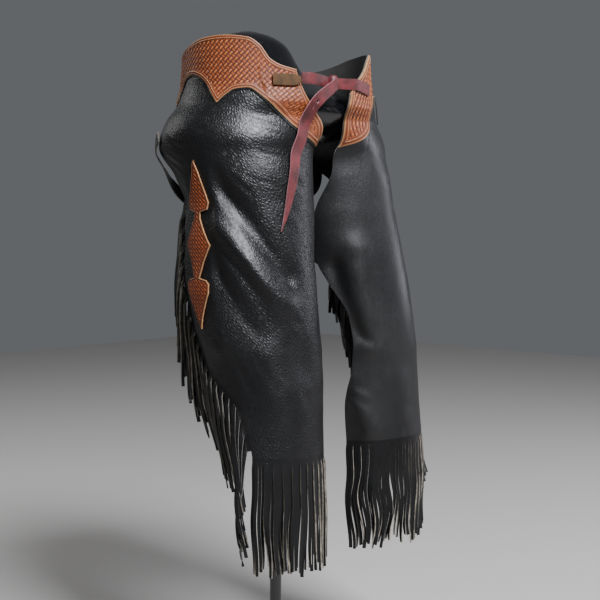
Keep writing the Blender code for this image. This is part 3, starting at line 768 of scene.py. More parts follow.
class LegShape:
    """The form that a leg panel takes round the thigh, which everything on that leg lies on."""

    STEP = 0.001
    INNER, OUTER = 4, 5

    def __init__(self, side: Side) -> None:
        """Reads the section table at every millimetre of height."""
        self.side = side
        low, high = SECTIONS[0][0], SECTIONS[-1][0]
        heights = [low + self.STEP * i for i in range(int((high - low) / self.STEP) + 2)]
        self.low = low
        self.rows = [[table_value(SECTIONS, c, z) for c in range(1, 7)] for z in heights]
        if side is Side.LEFT:
            for row, height in zip(self.rows, heights):
                if height > LEFT_INNER[0][0]:
                    row[self.INNER] = table_value(LEFT_INNER, 1, height)

    def section(self, height: float) -> tuple[float, ...]:
        """Returns centre out, centre front, half width, half depth, inner turn and outer turn."""
        place = min(max((height - self.low) / self.STEP, 0.0), len(self.rows) - 1.001)
        index = int(place)
        share = place - index
        return tuple(a + (b - a) * share for a, b in zip(self.rows[index], self.rows[index + 1]))

    def turn_at(self, across: float, height: float) -> float:
        """Returns the turn at a place across the panel."""
        row = self.section(height)
        return row[self.INNER] + (row[self.OUTER] - row[self.INNER]) * across

    @staticmethod
    def line_distance(turn: float, height: float, row: Sequence[float], radius: float) -> tuple[float, float]:
        """Measures from a fold's line to a point.

        Args:
            turn: the point's turn in degrees.
            height: the point's height.
            row: the fold's row of a table.
            radius: the panel's radius there.

        Returns:
            The distance in metres, and the share of the line's length beside the point.
        """
        ax = math.radians(row[0] - row[2]) * radius
        az = row[1] - row[3]
        px = math.radians(turn - row[2]) * radius
        pz = height - row[3]
        share = min(1.0, max(0.0, (px * ax + pz * az) / (ax * ax + az * az)))
        return math.hypot(px - ax * share, pz - az * share), share

    @staticmethod
    def applique_turn(height: float) -> float:
        """Returns the turn of the applique's middle line."""
        share = (APPLIQUE_TOP - height) / APPLIQUE_OUTLINE[-1][0]
        share = min(1.0, max(0.0, share)) ** APPLIQUE_BEND
        return APPLIQUE_TOP_TURN + (APPLIQUE_FOOT_TURN - APPLIQUE_TOP_TURN) * share

    def hold(self, turn: float, height: float) -> float:
        """Returns 0 under the stiff applique, which holds the panel smooth, and 1 away from it."""
        beside = (abs(turn - self.applique_turn(height)) - APPLIQUE_HOLD) / APPLIQUE_HOLD
        beyond = (abs(height - APPLIQUE_TOP + APPLIQUE_OUTLINE[-1][0] / 2) - APPLIQUE_REACH) / APPLIQUE_FADE
        return ease(max(0.0, beside, beyond))

    def fold_rise(self, turn: float, height: float, radius: float) -> float:
        """Returns how far the large folds push the panel out."""
        rise = 0.0
        for row in FOLDS[self.side]:
            share = self.line_distance(turn, height, row, radius)[0] / row[4]
            rise += row[5] * math.exp(-share * share)
        return rise * self.hold(turn, height)

    def crease_rise(self, turn: float, height: float, radius: float) -> float:
        """Returns how far the fine creases and the leather's own waviness move the panel."""
        rise = 0.0
        for row in CREASES[self.side]:
            distance, along = self.line_distance(turn, height, row, radius)
            share = distance / row[4]
            if share < 3.0:
                swell = math.sin(math.pi * min(1.0, max(0.0, along))) ** 0.5
                trough = math.exp(-share * share) - 0.45 * math.exp(-((share - 1.7) ** 2) * 2.0)
                rise += row[5] * trough * (0.25 + 0.75 * swell)
        slope = self.side.value * 0.6
        u, v = math.radians(turn) * radius, height
        drift = noise.noise(Vector((u * 14 - v * 9 * slope, v * 12, 3.1 + self.side.value)))
        pull = noise.noise(Vector((u * 60 - v * 40, (v + u * 0.9) * 22, 7.7 + self.side.value)))
        return (rise + 0.0005 * drift + 0.00022 * pull) * self.hold(turn, height)

    def turned_point(self, turn: float, height: float, lift: float = 0.0, folded: bool = True) -> Vector:
        """Returns the panel's point at a turn and height.

        Args:
            turn: degrees from straight ahead, positive towards the outer side.
            height: height above the floor.
            lift: distance off the panel's middle.
            folded: whether the large folds move the point.

        Returns:
            The point.
        """
        row = self.section(height)
        angle = math.radians(turn)
        out, front = math.sin(angle), math.cos(angle)
        normal = Vector((out / row[2], front / row[3], 0.0)).normalized()
        if folded:
            lift += self.fold_rise(turn, height, row[2])
        x = row[0] + row[2] * out + normal.x * lift
        y = row[1] + row[3] * front + normal.y * lift
        return Vector((self.side.value * x, -y, height))

    def panel_point(self, across: float, height: float, lift: float = 0.0) -> Vector:
        """Returns the panel's point from 0 at its inner edge to 1 at its outer edge."""
        return self.turned_point(self.turn_at(across, height), height, lift)

    def normal(self, turn: float, height: float) -> Vector:
        """Returns the level direction out of the panel."""
        step = self.turned_point(turn, height, 1.0, False) - self.turned_point(turn, height, 0.0, False)
        return step.normalized()


def yoke_top(side: Side, across: float) -> float:
    """Returns the height of the yoke's top edge."""
    return table_value(TOP_EDGE if side is Side.RIGHT else LEFT_TOP_EDGE, 1, across)


def yoke_foot(across: float) -> float:
    """Returns the height of the yoke's scalloped lower edge."""
    scallop = next((s for s in SCALLOPS if across <= s[-1][0]), SCALLOPS[-1])
    return table_value(scallop, 1, across)


def hem_height(across: float) -> float:
    """Returns the height of the hem, which climbs a little towards the outer edge."""
    return HEM_HEIGHT + HEM_CLIMB * across


class MeshMaker:
    """Makes the chaps' meshes, each at the origin with its place in its points."""

    @staticmethod
    def add(
        name: str,
        points: Sequence[Vector],
        faces: Sequence[tuple[int, ...]],
        materials: Sequence[bpy.types.Material],
        which: Sequence[int] | None = None,
        sharp: float = 40.0,
    ) -> bpy.types.Object:
        """Makes an object of the points and faces.

        Args:
            name: the piece's name.
            points: its corners, in place.
            faces: its faces as corner numbers, turned outwards.
            materials: its materials.
            which: the material's number for each face.
            sharp: the angle in degrees past which an edge stays sharp.

        Returns:
            The object, at the origin.
        """
        mesh = bpy.data.meshes.new(name)
        mesh.from_pydata([tuple(p) for p in points], [], faces)
        for material in materials:
            mesh.materials.append(material)
        if which is not None:
            mesh.polygons.foreach_set("material_index", np.array(which, np.int32))
        mesh.shade_smooth()
        mesh.set_sharp_from_angle(angle=math.radians(sharp))
        mesh.update()
        placed = bpy.data.objects.new(name, mesh)
        bpy.context.scene.collection.objects.link(placed)
        return placed

    @staticmethod
    def wall(
        name: str,
        outer: Grid,
        inner: Grid,
        materials: Sequence[bpy.types.Material],
        flip: bool,
        relief: Sequence[float] | None = None,
        rim_share: Sequence[float] | None = None,
    ) -> bpy.types.Object:
        """Makes a closed wall between two grids of points.

        Args:
            name: the piece's name.
            outer: the outer face's points, column by column.
            inner: the inner face's points, in the same order.
            materials: finishes of the outer face, the inner face and the cut edges.
            flip: whether the grid's order turns the faces inwards.
            relief: the outer points' relief from 0 to 1, for a stamped finish.
            rim_share: the outer points' share of pared edge, for a stamped finish.

        Returns:
            The object.
        """
        columns, rows = len(outer), len(outer[0])
        size = columns * rows
        points = [p for column in outer for p in column] + [p for column in inner for p in column]
        faces, which = [], []
        for i in range(columns - 1):
            for j in range(rows - 1):
                a = i * rows + j
                quad = (a, a + rows, a + rows + 1, a + 1)
                faces += [quad, tuple(size + k for k in reversed(quad))]
                which += [0, 1]
        rim = [i * rows for i in range(columns)]
        rim += [(columns - 1) * rows + j for j in range(1, rows)]
        rim += [i * rows + rows - 1 for i in range(columns - 2, -1, -1)]
        rim += list(range(rows - 2, 0, -1))
        for a, b in zip(rim, rim[1:] + rim[:1]):
            faces.append((b, a, size + a, size + b))
            which.append(2)
        if flip:
            faces = [tuple(reversed(face)) for face in faces]
        made = MeshMaker.add(name, points, faces, materials, which)
        if relief is not None:
            layer = made.data.attributes.new("relief", "FLOAT", "POINT")
            layer.data.foreach_set("value", list(relief) + [0.45] * size)
            layer = made.data.attributes.new("rim", "FLOAT", "POINT")
            layer.data.foreach_set("value", list(rim_share) + [0.0] * size)
        return made

    @staticmethod
    def strap(
        name: str,
        middles: Sequence[Vector],
        normals: Sequence[Vector],
        widths: Sequence[float],
        leather: float,
        materials: Sequence[bpy.types.Material],
        across: int = 8,
        crown: float = 0.0003,
    ) -> bpy.types.Object:
        """Makes a flat strap with softened edges along middle points.

        Args:
            name: the piece's name.
            middles: the strap's middle line.
            normals: the way that its face looks at each point.
            widths: its width at each point.
            leather: its thickness.
            materials: finishes of the face, the back and the cut edges.
            across: how many squares it has across.
            crown: how much thinner its edges are than its middle, on each side.

        Returns:
            The object.
        """
        outer, inner = [], []
        last = len(middles) - 1
        for i, (middle, normal, width) in enumerate(zip(middles, normals, widths)):
            along = (middles[min(i + 1, last)] - middles[max(i - 1, 0)]).normalized()
            side_way = along.cross(normal).normalized()
            up = side_way.cross(along).normalized()
            shares = [2 * k / across - 1 for k in range(across + 1)]
            for rows, sign in ((outer, 1), (inner, -1)):
                lifts = [sign * (leather / 2 - crown * abs(s) ** 5) for s in shares]
                rows.append([middle + side_way * width * s / 2 + up * h for s, h in zip(shares, lifts)])
        return MeshMaker.wall(name, outer, inner, materials, flip=True)

    @staticmethod
    def turned(
        name: str,
        profile: Sequence[tuple[float, float]],
        sides: int,
        material: bpy.types.Material,
    ) -> bpy.types.Object:
        """Turns a profile of radius and height, from its foot up, round the Z axis."""
        points = []
        for radius, height in profile:
            for k in range(sides):
                angle = 2 * math.pi * k / sides
                points.append(Vector((radius * math.cos(angle), radius * math.sin(angle), height)))
        faces = MeshMaker.ring_faces(len(profile) - 1, sides)
        last = (len(profile) - 1) * sides
        faces.append(tuple(reversed(range(sides))))
        faces.append(tuple(last + k for k in range(sides)))
        return MeshMaker.add(name, points, faces, [material])

    @staticmethod
    def ring_faces(stretches: int, sides: int) -> list[tuple[int, ...]]:
        """Returns the squares between rings of points, one stretch above the other."""
        faces = []
        for ring in range(stretches):
            for k in range(sides):
                a, b = ring * sides + k, ring * sides + (k + 1) % sides
                faces.append((a, b, b + sides, a + sides))
        return faces

    @staticmethod
    def point_out(made: bpy.types.Object) -> None:
        """Turns a closed mesh's faces out where their order left them in."""
        mesh = made.data
        volume = 0.0
        for face in mesh.polygons:
            corners = [mesh.vertices[i].co for i in face.vertices]
            for b, c in zip(corners[1:], corners[2:]):
                volume += corners[0].dot(b.cross(c))
        if volume < 0:
            mesh.flip_normals()

    @staticmethod
    def smooth_way(points: Sequence[Vector], parts: int) -> list[Vector]:
        """Returns points along a soft curve through the given ones, a number of parts to each stretch."""
        ends = [points[0] * 2 - points[1], *points, points[-1] * 2 - points[-2]]
        way = []
        for a, b, c, d in zip(ends, ends[1:], ends[2:], ends[3:]):
            for k in range(parts):
                t = k / parts
                curve = b * 2 + (c - a) * t + (a * 2 - b * 5 + c * 4 - d) * t * t
                way.append((curve + (b * 3 - a - c * 3 + d) * t ** 3) * 0.5)
        return way + [points[-1].copy()]

    @staticmethod
    def smooth_numbers(values: Sequence[float], parts: int) -> list[float]:
        """Returns numbers read between the given ones, a number of parts to each stretch."""
        places = list(range(len(values)))
        count = (len(values) - 1) * parts
        return [smooth_value(places, values, k / parts) for k in range(count + 1)]


class StitchTree:
    """A Geometry Nodes tree that lays stitches along a seam's line."""

    def __init__(self, thread: bpy.types.Material) -> None:
        """Builds the tree, with the stitch's sizes as its inputs."""
        tree = bpy.data.node_groups.new("row_of_stitches", "GeometryNodeTree")
        face = tree.interface
        face.new_socket("Seam", in_out="INPUT", socket_type="NodeSocketGeometry")
        for name, size in (("Pitch", 0.0032), ("Length", 0.0025), ("Thread", 0.0009)):
            socket = face.new_socket(name, in_out="INPUT", socket_type="NodeSocketFloat")
            socket.default_value = size
        face.new_socket("Stitches", in_out="OUTPUT", socket_type="NodeSocketGeometry")
        given = add_node(tree, "NodeGroupInput")
        curve = add_node(tree, "GeometryNodeMeshToCurve", {"Mesh": given})
        spaced = {"Curve": curve, "Length": given.outputs["Pitch"]}
        even = add_node(tree, "GeometryNodeResampleCurve", spaced, mode="LENGTH")
        ball = add_node(tree, "GeometryNodeMeshUVSphere", {"Segments": 8, "Rings": 6, "Radius": 0.5})
        thin = given.outputs["Thread"]
        size = add_node(tree, "ShaderNodeCombineXYZ", {"X": given.outputs["Length"], "Y": thin, "Z": thin})
        shaped = add_node(tree, "GeometryNodeTransform", {"Geometry": ball, "Scale": size})
        smooth = add_node(tree, "GeometryNodeSetShadeSmooth", {"Geometry": shaped})
        tangent = add_node(tree, "GeometryNodeInputTangent")
        turn = add_node(tree, "FunctionNodeAlignRotationToVector", {"Vector": tangent}, axis="X")
        row = {"Points": even, "Instance": smooth, "Rotation": turn}
        laid = add_node(tree, "GeometryNodeInstanceOnPoints", row)
        real = add_node(tree, "GeometryNodeRealizeInstances", {"Geometry": laid})
        finished = add_node(tree, "GeometryNodeSetMaterial", {"Geometry": real, "Material": thread})
        add_node(tree, "NodeGroupOutput", {"Stitches": finished})
        self.tree = tree
        self.thread = thread

    def sew(self, name: str, seams: Sequence[Sequence[Vector]], **sizes: float) -> bpy.types.Object:
        """Lays stitches along seams.

        Args:
            name: the piece's name.
            seams: the lines to follow.
            **sizes: values for the tree's named inputs.

        Returns:
            The stitches as one plain mesh.
        """
        points, edges = [], []
        for seam in seams:
            start = len(points)
            points += [tuple(p) for p in seam]
            edges += [(start + k, start + k + 1) for k in range(len(seam) - 1)]
        mesh = bpy.data.meshes.new(name + "_line")
        mesh.from_pydata(points, edges, [])
        guide = bpy.data.objects.new(name + "_line", mesh)
        bpy.context.scene.collection.objects.link(guide)
        modifier = guide.modifiers.new("stitches", "NODES")
        modifier.node_group = self.tree
        names = {s.name: s.identifier for s in self.tree.interface.items_tree if s.in_out == "INPUT"}
        for key, value in sizes.items():
            modifier[names[key]] = value
        bpy.context.view_layer.update()
        graph = bpy.context.evaluated_depsgraph_get()
        sewn = bpy.data.meshes.new_from_object(guide.evaluated_get(graph))
        sewn.name = name
        bpy.data.objects.remove(guide)
        bpy.data.meshes.remove(mesh)
        if not sewn.materials:
            sewn.materials.append(self.thread)
        made = bpy.data.objects.new(name, sewn)
        bpy.context.scene.collection.objects.link(made)
        return made


@dataclass(frozen=True)
class BasketWeave:
    """The traditional basket-weave stamp, set on the slant inside a plain border."""

    cell: float = 6.4 * MM
    depth: float = 0.95 * MM
    slant: float = 45.0
    border: float = 7.0 * MM
    groove: float = 0.5 * MM
    channel: float = 2.7 * MM
    edge: float = 0.9 * MM

    def height(self, u: np.ndarray, v: np.ndarray, away: np.ndarray) -> tuple[np.ndarray, np.ndarray]:
        """Works out the stamped surface.

        Args:
            u: places along the leather, in metres.
            v: places up the leather.
            away: distances from the nearest cut edge.

        Returns:
            The height of each point above the leather's face, below 0 where it is pressed in, and
            its relief from 0 to 1.
        """
        turn = math.radians(self.slant)
        p = (u * math.cos(turn) + v * math.sin(turn)) / self.cell
        q = (v * math.cos(turn) - u * math.sin(turn)) / self.cell
        i, j = np.floor(p), np.floor(q)
        x, y = p - i - 0.5, q - j - 0.5
        over = (i + j) % 2 == 0
        bar = self._pillow(x / 0.62, y / 0.30)
        strip = 0.62 * self._pillow(y / 0.46, x / 0.44)
        weave = np.where(over, bar, strip)
        inside = np.clip((away - self.border) / (0.8 * MM), 0, 1)
        line = np.exp(-(((away - self.border + 0.5 * MM) / (0.6 * MM)) ** 2))
        round_off = np.exp(-((away / self.edge) ** 2))
        channel = np.exp(-(((away - self.channel) / (0.6 * MM)) ** 2))
        raised = -self.depth * (1 - weave) * inside - self.groove * (line + channel) - 0.5 * MM * round_off
        plain = 0.56 - 0.42 * line - 0.55 * channel + 0.10 * round_off
        relief = inside * weave + (1 - inside) * plain
        return raised, np.clip(relief, 0, 1)

    @staticmethod
    def _pillow(along: np.ndarray, across: np.ndarray) -> np.ndarray:
        """Returns a rounded bar's height, where both places run from -1 to 1 over the bar."""
        wide = np.sqrt(np.clip(1 - across ** 2, 0, 1))
        return wide * np.clip(1.25 - along ** 4, 0, 1)


def edge_distances(points: np.ndarray, line: np.ndarray) -> np.ndarray:
    """Returns each flat point's distance from a line of straight runs."""
    best = np.full(len(points), np.inf)
    for a, b in zip(line, line[1:]):
        run = b - a
        share = np.clip(((points - a) @ run) / max(float(run @ run), 1e-12), 0, 1)
        best = np.minimum(best, np.linalg.norm(points - a - share[:, None] * run, axis=1))
    return best


@dataclass
class StampedPiece:
    """A piece of stamped leather that lies on a leg panel."""

    shape: LegShape
    finishes: Finishes

    def on_surface(self, u: float, v: float, lift: float) -> Vector:
        """Returns the point above a place of the flat piece."""
        raise NotImplementedError

    def stamp_wall(
        self,
        kind: str,
        spots: Sequence[tuple[float, float]],
        edge: np.ndarray,
        count: int,
        lifts: tuple[float, float],
        stamp: BasketWeave,
        face: bpy.types.Material,
        mirror: float = 1.0,
    ) -> bpy.types.Object:
        """Stamps a piece that is laid flat and lays it on the panel.

        Args:
            kind: the piece's name, without its side.
            spots: its grid of flat places, column by column.
            edge: its outline, laid flat and closed.
            count: how many places a column has.
            lifts: how high its underside and its face lie.
            stamp: the stamp that presses it.
            face: the finish of its face.
            mirror: -1 turns the stamp's slant round.

        Returns:
            The finished piece.
        """
        flat = np.array(spots)
        away = edge_distances(flat, edge)
        raised, relief = stamp.height(flat[:, 0] * mirror, flat[:, 1], away)
        outer = [self.on_surface(*spot, lifts[1] + rise) for spot, rise in zip(flat, raised)]
        inner = [self.on_surface(*spot, lifts[0]) for spot in flat]
        return MeshMaker.wall(
            f"{kind}_{self.shape.side.word}",
            [outer[i : i + count] for i in range(0, len(outer), count)],
            [inner[i : i + count] for i in range(0, len(inner), count)],
            [face, self.finishes.flesh, self.finishes.cut_tan],
            flip=self.shape.side is Side.LEFT,
            relief=relief,
            rim_share=np.exp(-((away / PARED_RIM) ** 4)),
        )


@dataclass
class LegPanel:
    """A black leather leg panel."""

    shape: LegShape
    finishes: Finishes
    columns: int = 128
    rows: int = 150
    rows_under_yoke: int = 16
    yoke_clear: float = 0.010

    def build(self) -> bpy.types.Object:
        """Builds the panel.

        Returns:
            The finished shell, with its creases.
        """
        outer, inner = [], []
        for i in range(self.columns + 1):
            across = i / self.columns
            hem, foot, top = hem_height(across), yoke_foot(across), yoke_top(self.shape.side, across) - 0.0006
            heights = [hem + (foot - hem) * j / self.rows for j in range(self.rows)]
            steps = self.rows_under_yoke
            heights += [foot + (top - foot) * j / steps for j in range(steps + 1)]
            outside, inside = [], []
            for height in heights:
                turn = self.shape.turn_at(across, height)
                radius = self.shape.section(height)[2]
                free = ease((foot - height) / self.yoke_clear)
                crease = self.shape.crease_rise(turn, height, radius) * free
                outside.append(self.shape.turned_point(turn, height, LEG_LEATHER / 2 + crease))
                inside.append(self.shape.turned_point(turn, height, -LEG_LEATHER / 2 + crease))
            outer.append(outside)
            inner.append(inside)
        skin = self.finishes.pebbled if self.shape.side is Side.RIGHT else self.finishes.satin
        materials = [skin, self.finishes.flesh, self.finishes.cut_black]
        name = f"leg_panel_{self.shape.side.word}"
        return MeshMaker.wall(name, outer, inner, materials, flip=self.shape.side is Side.LEFT)


@dataclass
class Underlay:
    """The black leather that shows as a thin dark line below the yoke's scallops."""

    shape: LegShape
    finishes: Finishes
    width: float = 2.6 * MM
    leather: float = 1.6 * MM
    radius: float = FLAT_RADIUS

    def build(self) -> bpy.types.Object:
        """Returns the strip beside the lower edge."""
        places = np.linspace(0.0, 1.0, 360)
        turns = [self.shape.turn_at(a, yoke_foot(a)) for a in places]
        line = np.array([(math.radians(t) * self.radius, yoke_foot(a)) for t, a in zip(turns, places)])
        step = np.gradient(line, axis=0)
        step /= np.linalg.norm(step, axis=1)[:, None]
        out = np.stack([step[:, 1], -step[:, 0]], axis=1)
        low, high = LEG_LEATHER / 2 + 0.05 * MM, LEG_LEATHER / 2 + self.leather
        outer, inner = [], []
        for spot, way in zip(line, out):
            ends = [spot + way * reach for reach in (self.width, 0.7 * self.width, 0.3 * MM)]
            lifts = (high - 0.5 * MM, high, high)
            outer.append([self._point(end, lift) for end, lift in zip(ends, lifts)])
            inner.append([self._point(end, low) for end in ends])
        materials = [self.finishes.satin, self.finishes.flesh, self.finishes.satin]
        name = f"yoke_underlay_{self.shape.side.word}"
        return MeshMaker.wall(name, outer, inner, materials, flip=self.shape.side is Side.LEFT)

    def _point(self, spot: np.ndarray, lift: float) -> Vector:
        """Returns the point above a place of the panel laid flat."""
        return self.shape.turned_point(math.degrees(spot[0] / self.radius), spot[1], lift)


@dataclass
class Yoke(StampedPiece):
    """A stamped russet yoke with its rows of stitches."""

    stitches: StitchTree
    rows: int = 100
    spread: float = 0.0027
    radius: float = FLAT_RADIUS
    inset: float = 4.6 * MM
    stamp: BasketWeave = BasketWeave()

    def flat(self, across: float, height: float) -> tuple[float, float]:
        """Returns a place on the yoke laid flat."""
        return math.radians(self.shape.turn_at(across, height)) * self.radius, height

    def on_surface(self, u: float, v: float, lift: float) -> Vector:
        """Returns the point above a place of the flat yoke."""
        return self.shape.turned_point(math.degrees(u / self.radius), v, lift)

    def places(self) -> list[float]:
        """Returns the places of its columns, with one at each row of the scallops' tables."""
        places = []
        for scallop in SCALLOPS:
            for (start, _), (end, _) in zip(scallop, scallop[1:]):
                parts = max(4, math.ceil((end - start) / self.spread))
                places += [start + (end - start) * k / parts for k in range(parts)]
        return places + [1.0]

    def border(self) -> np.ndarray:
        """Returns the yoke's outline laid flat, closed."""
        places = self.places()
        line = [self.flat(a, yoke_foot(a)) for a in places]
        back_top, front_top = (yoke_top(self.shape.side, a) for a in (1.0, 0.0))
        line += [self.flat(1.0, z) for z in np.linspace(yoke_foot(1.0), back_top, 12)[1:-1]]
        line += [self.flat(a, yoke_top(self.shape.side, a)) for a in reversed(places)]
        line += [self.flat(0.0, z) for z in np.linspace(front_top, yoke_foot(0.0), 24)[1:]]
        return np.array(line)

    def build(self) -> bpy.types.Object:
        """Returns the stamped leather."""
        spots = []
        for across in self.places():
            foot, top = yoke_foot(across), yoke_top(self.shape.side, across)
            spots += [self.flat(across, foot + (top - foot) * j / self.rows) for j in range(self.rows + 1)]
        return self.stamp_wall(
            "stamped_yoke",
            spots,
            self.border(),
            self.rows + 1,
            (UNDER_YOKE, ON_YOKE),
            self.stamp,
            self.finishes.russet,
            mirror=self.shape.side.value,
        )

    def seam(self, line: np.ndarray, inset: float, turned: float) -> list[list[Vector]]:
        """Lays a seam's line inside an edge.

        Args:
            line: the edge, laid flat.
            inset: the seam's distance from it.
            turned: 1 or -1, for the side of the line that is leather.

        Returns:
            The seam's lines on the yoke's face, cut where a cusp would cross them.
        """
        step = np.gradient(line, axis=0)
        step /= np.linalg.norm(step, axis=1)[:, None]
        moved = line + np.stack([-step[:, 1], step[:, 0]], axis=1) * inset * turned
        keep = edge_distances(moved, self.border()) > inset - 0.3 * MM
        lift = ON_YOKE + 0.1 * MM
        seams, run = [], []
        for spot, kept in zip(moved, keep):
            if kept:
                run.append(self.on_surface(spot[0], spot[1], lift))
            elif run:
                seams.append(run)
                run = []
        seams.append(run)
        return [seam for seam in seams if len(seam) > 3]

    def sew(self) -> bpy.types.Object:
        """Returns the yoke's stitches, a row inside each edge but the back one."""
        places = np.linspace(0.0, 1.0, 420)
        foot = np.array([self.flat(a, yoke_foot(a)) for a in places])
        top = np.array([self.flat(a, yoke_top(self.shape.side, a)) for a in places])
        heights = np.linspace(yoke_foot(0.0), yoke_top(self.shape.side, 0.0), 60)
        front = np.array([self.flat(0.0, z) for z in heights])
        seams = self.seam(foot, self.inset, 1.0)
        seams += self.seam(front, self.inset, -1.0)
        seams += self.seam(top, self.inset, -1.0)
        name = f"yoke_stitches_{self.shape.side.word}"
        return self.stitches.sew(name, seams, Pitch=3.2 * MM, Length=2.5 * MM, Thread=1.0 * MM)


@dataclass
class Applique(StampedPiece):
    """The linked spearhead, diamond and spade on the outer thigh."""

    rows: int = 260
    columns: int = 44
    stamp: BasketWeave = BasketWeave(4.6 * MM, 0.8 * MM, border=3.4 * MM, channel=2.0 * MM, edge=0.8 * MM)

    @staticmethod
    def half_width(drop: float) -> float:
        """Returns half the applique's width at a drop below its upper tip."""
        for (a, wide_a), (b, wide_b) in zip(APPLIQUE_OUTLINE, APPLIQUE_OUTLINE[1:]):
            if drop <= b:
                return wide_a + (wide_b - wide_a) * (drop - a) / (b - a)
        return APPLIQUE_OUTLINE[-1][1]

    def on_surface(self, u: float, v: float, lift: float) -> Vector:
        """Returns the point above a place of the flat applique, whose upper tip is at 0."""
        height = APPLIQUE_TOP + v
        turn = self.shape.applique_turn(height) + math.degrees(u / self.shape.section(height)[2])
        return self.shape.turned_point(turn, height, lift)

    def build(self) -> bpy.types.Object:
        """Returns the stamped applique."""
        corners = [row[0] for row in APPLIQUE_OUTLINE]
        drops = sorted(set(corners) | {corners[-1] * k / self.rows for k in range(self.rows + 1)})
        spots = []
        for drop in drops:
            half = self.half_width(drop)
            spots += [(half * (2 * k / self.columns - 1), -drop) for k in range(self.columns + 1)]
        edge = [(self.half_width(d), -d) for d in drops]
        edge += [(-self.half_width(d), -d) for d in reversed(drops)]
        under = LEG_LEATHER / 2 + APPLIQUE_LIFT
        return self.stamp_wall(
            "stamped_applique",
            spots,
            np.array(edge + edge[:1]),
            self.columns + 1,
            (under, under + APPLIQUE_LEATHER),
            self.stamp,
            self.finishes.applique,
        )


@dataclass(frozen=True)
class StrandStyle:
    """How the strands of one fringe are cut and how they hang."""

    name: str
    count: int
    length: float
    wave: float
    curl: float
    seed: int
    spread: float = 0.06


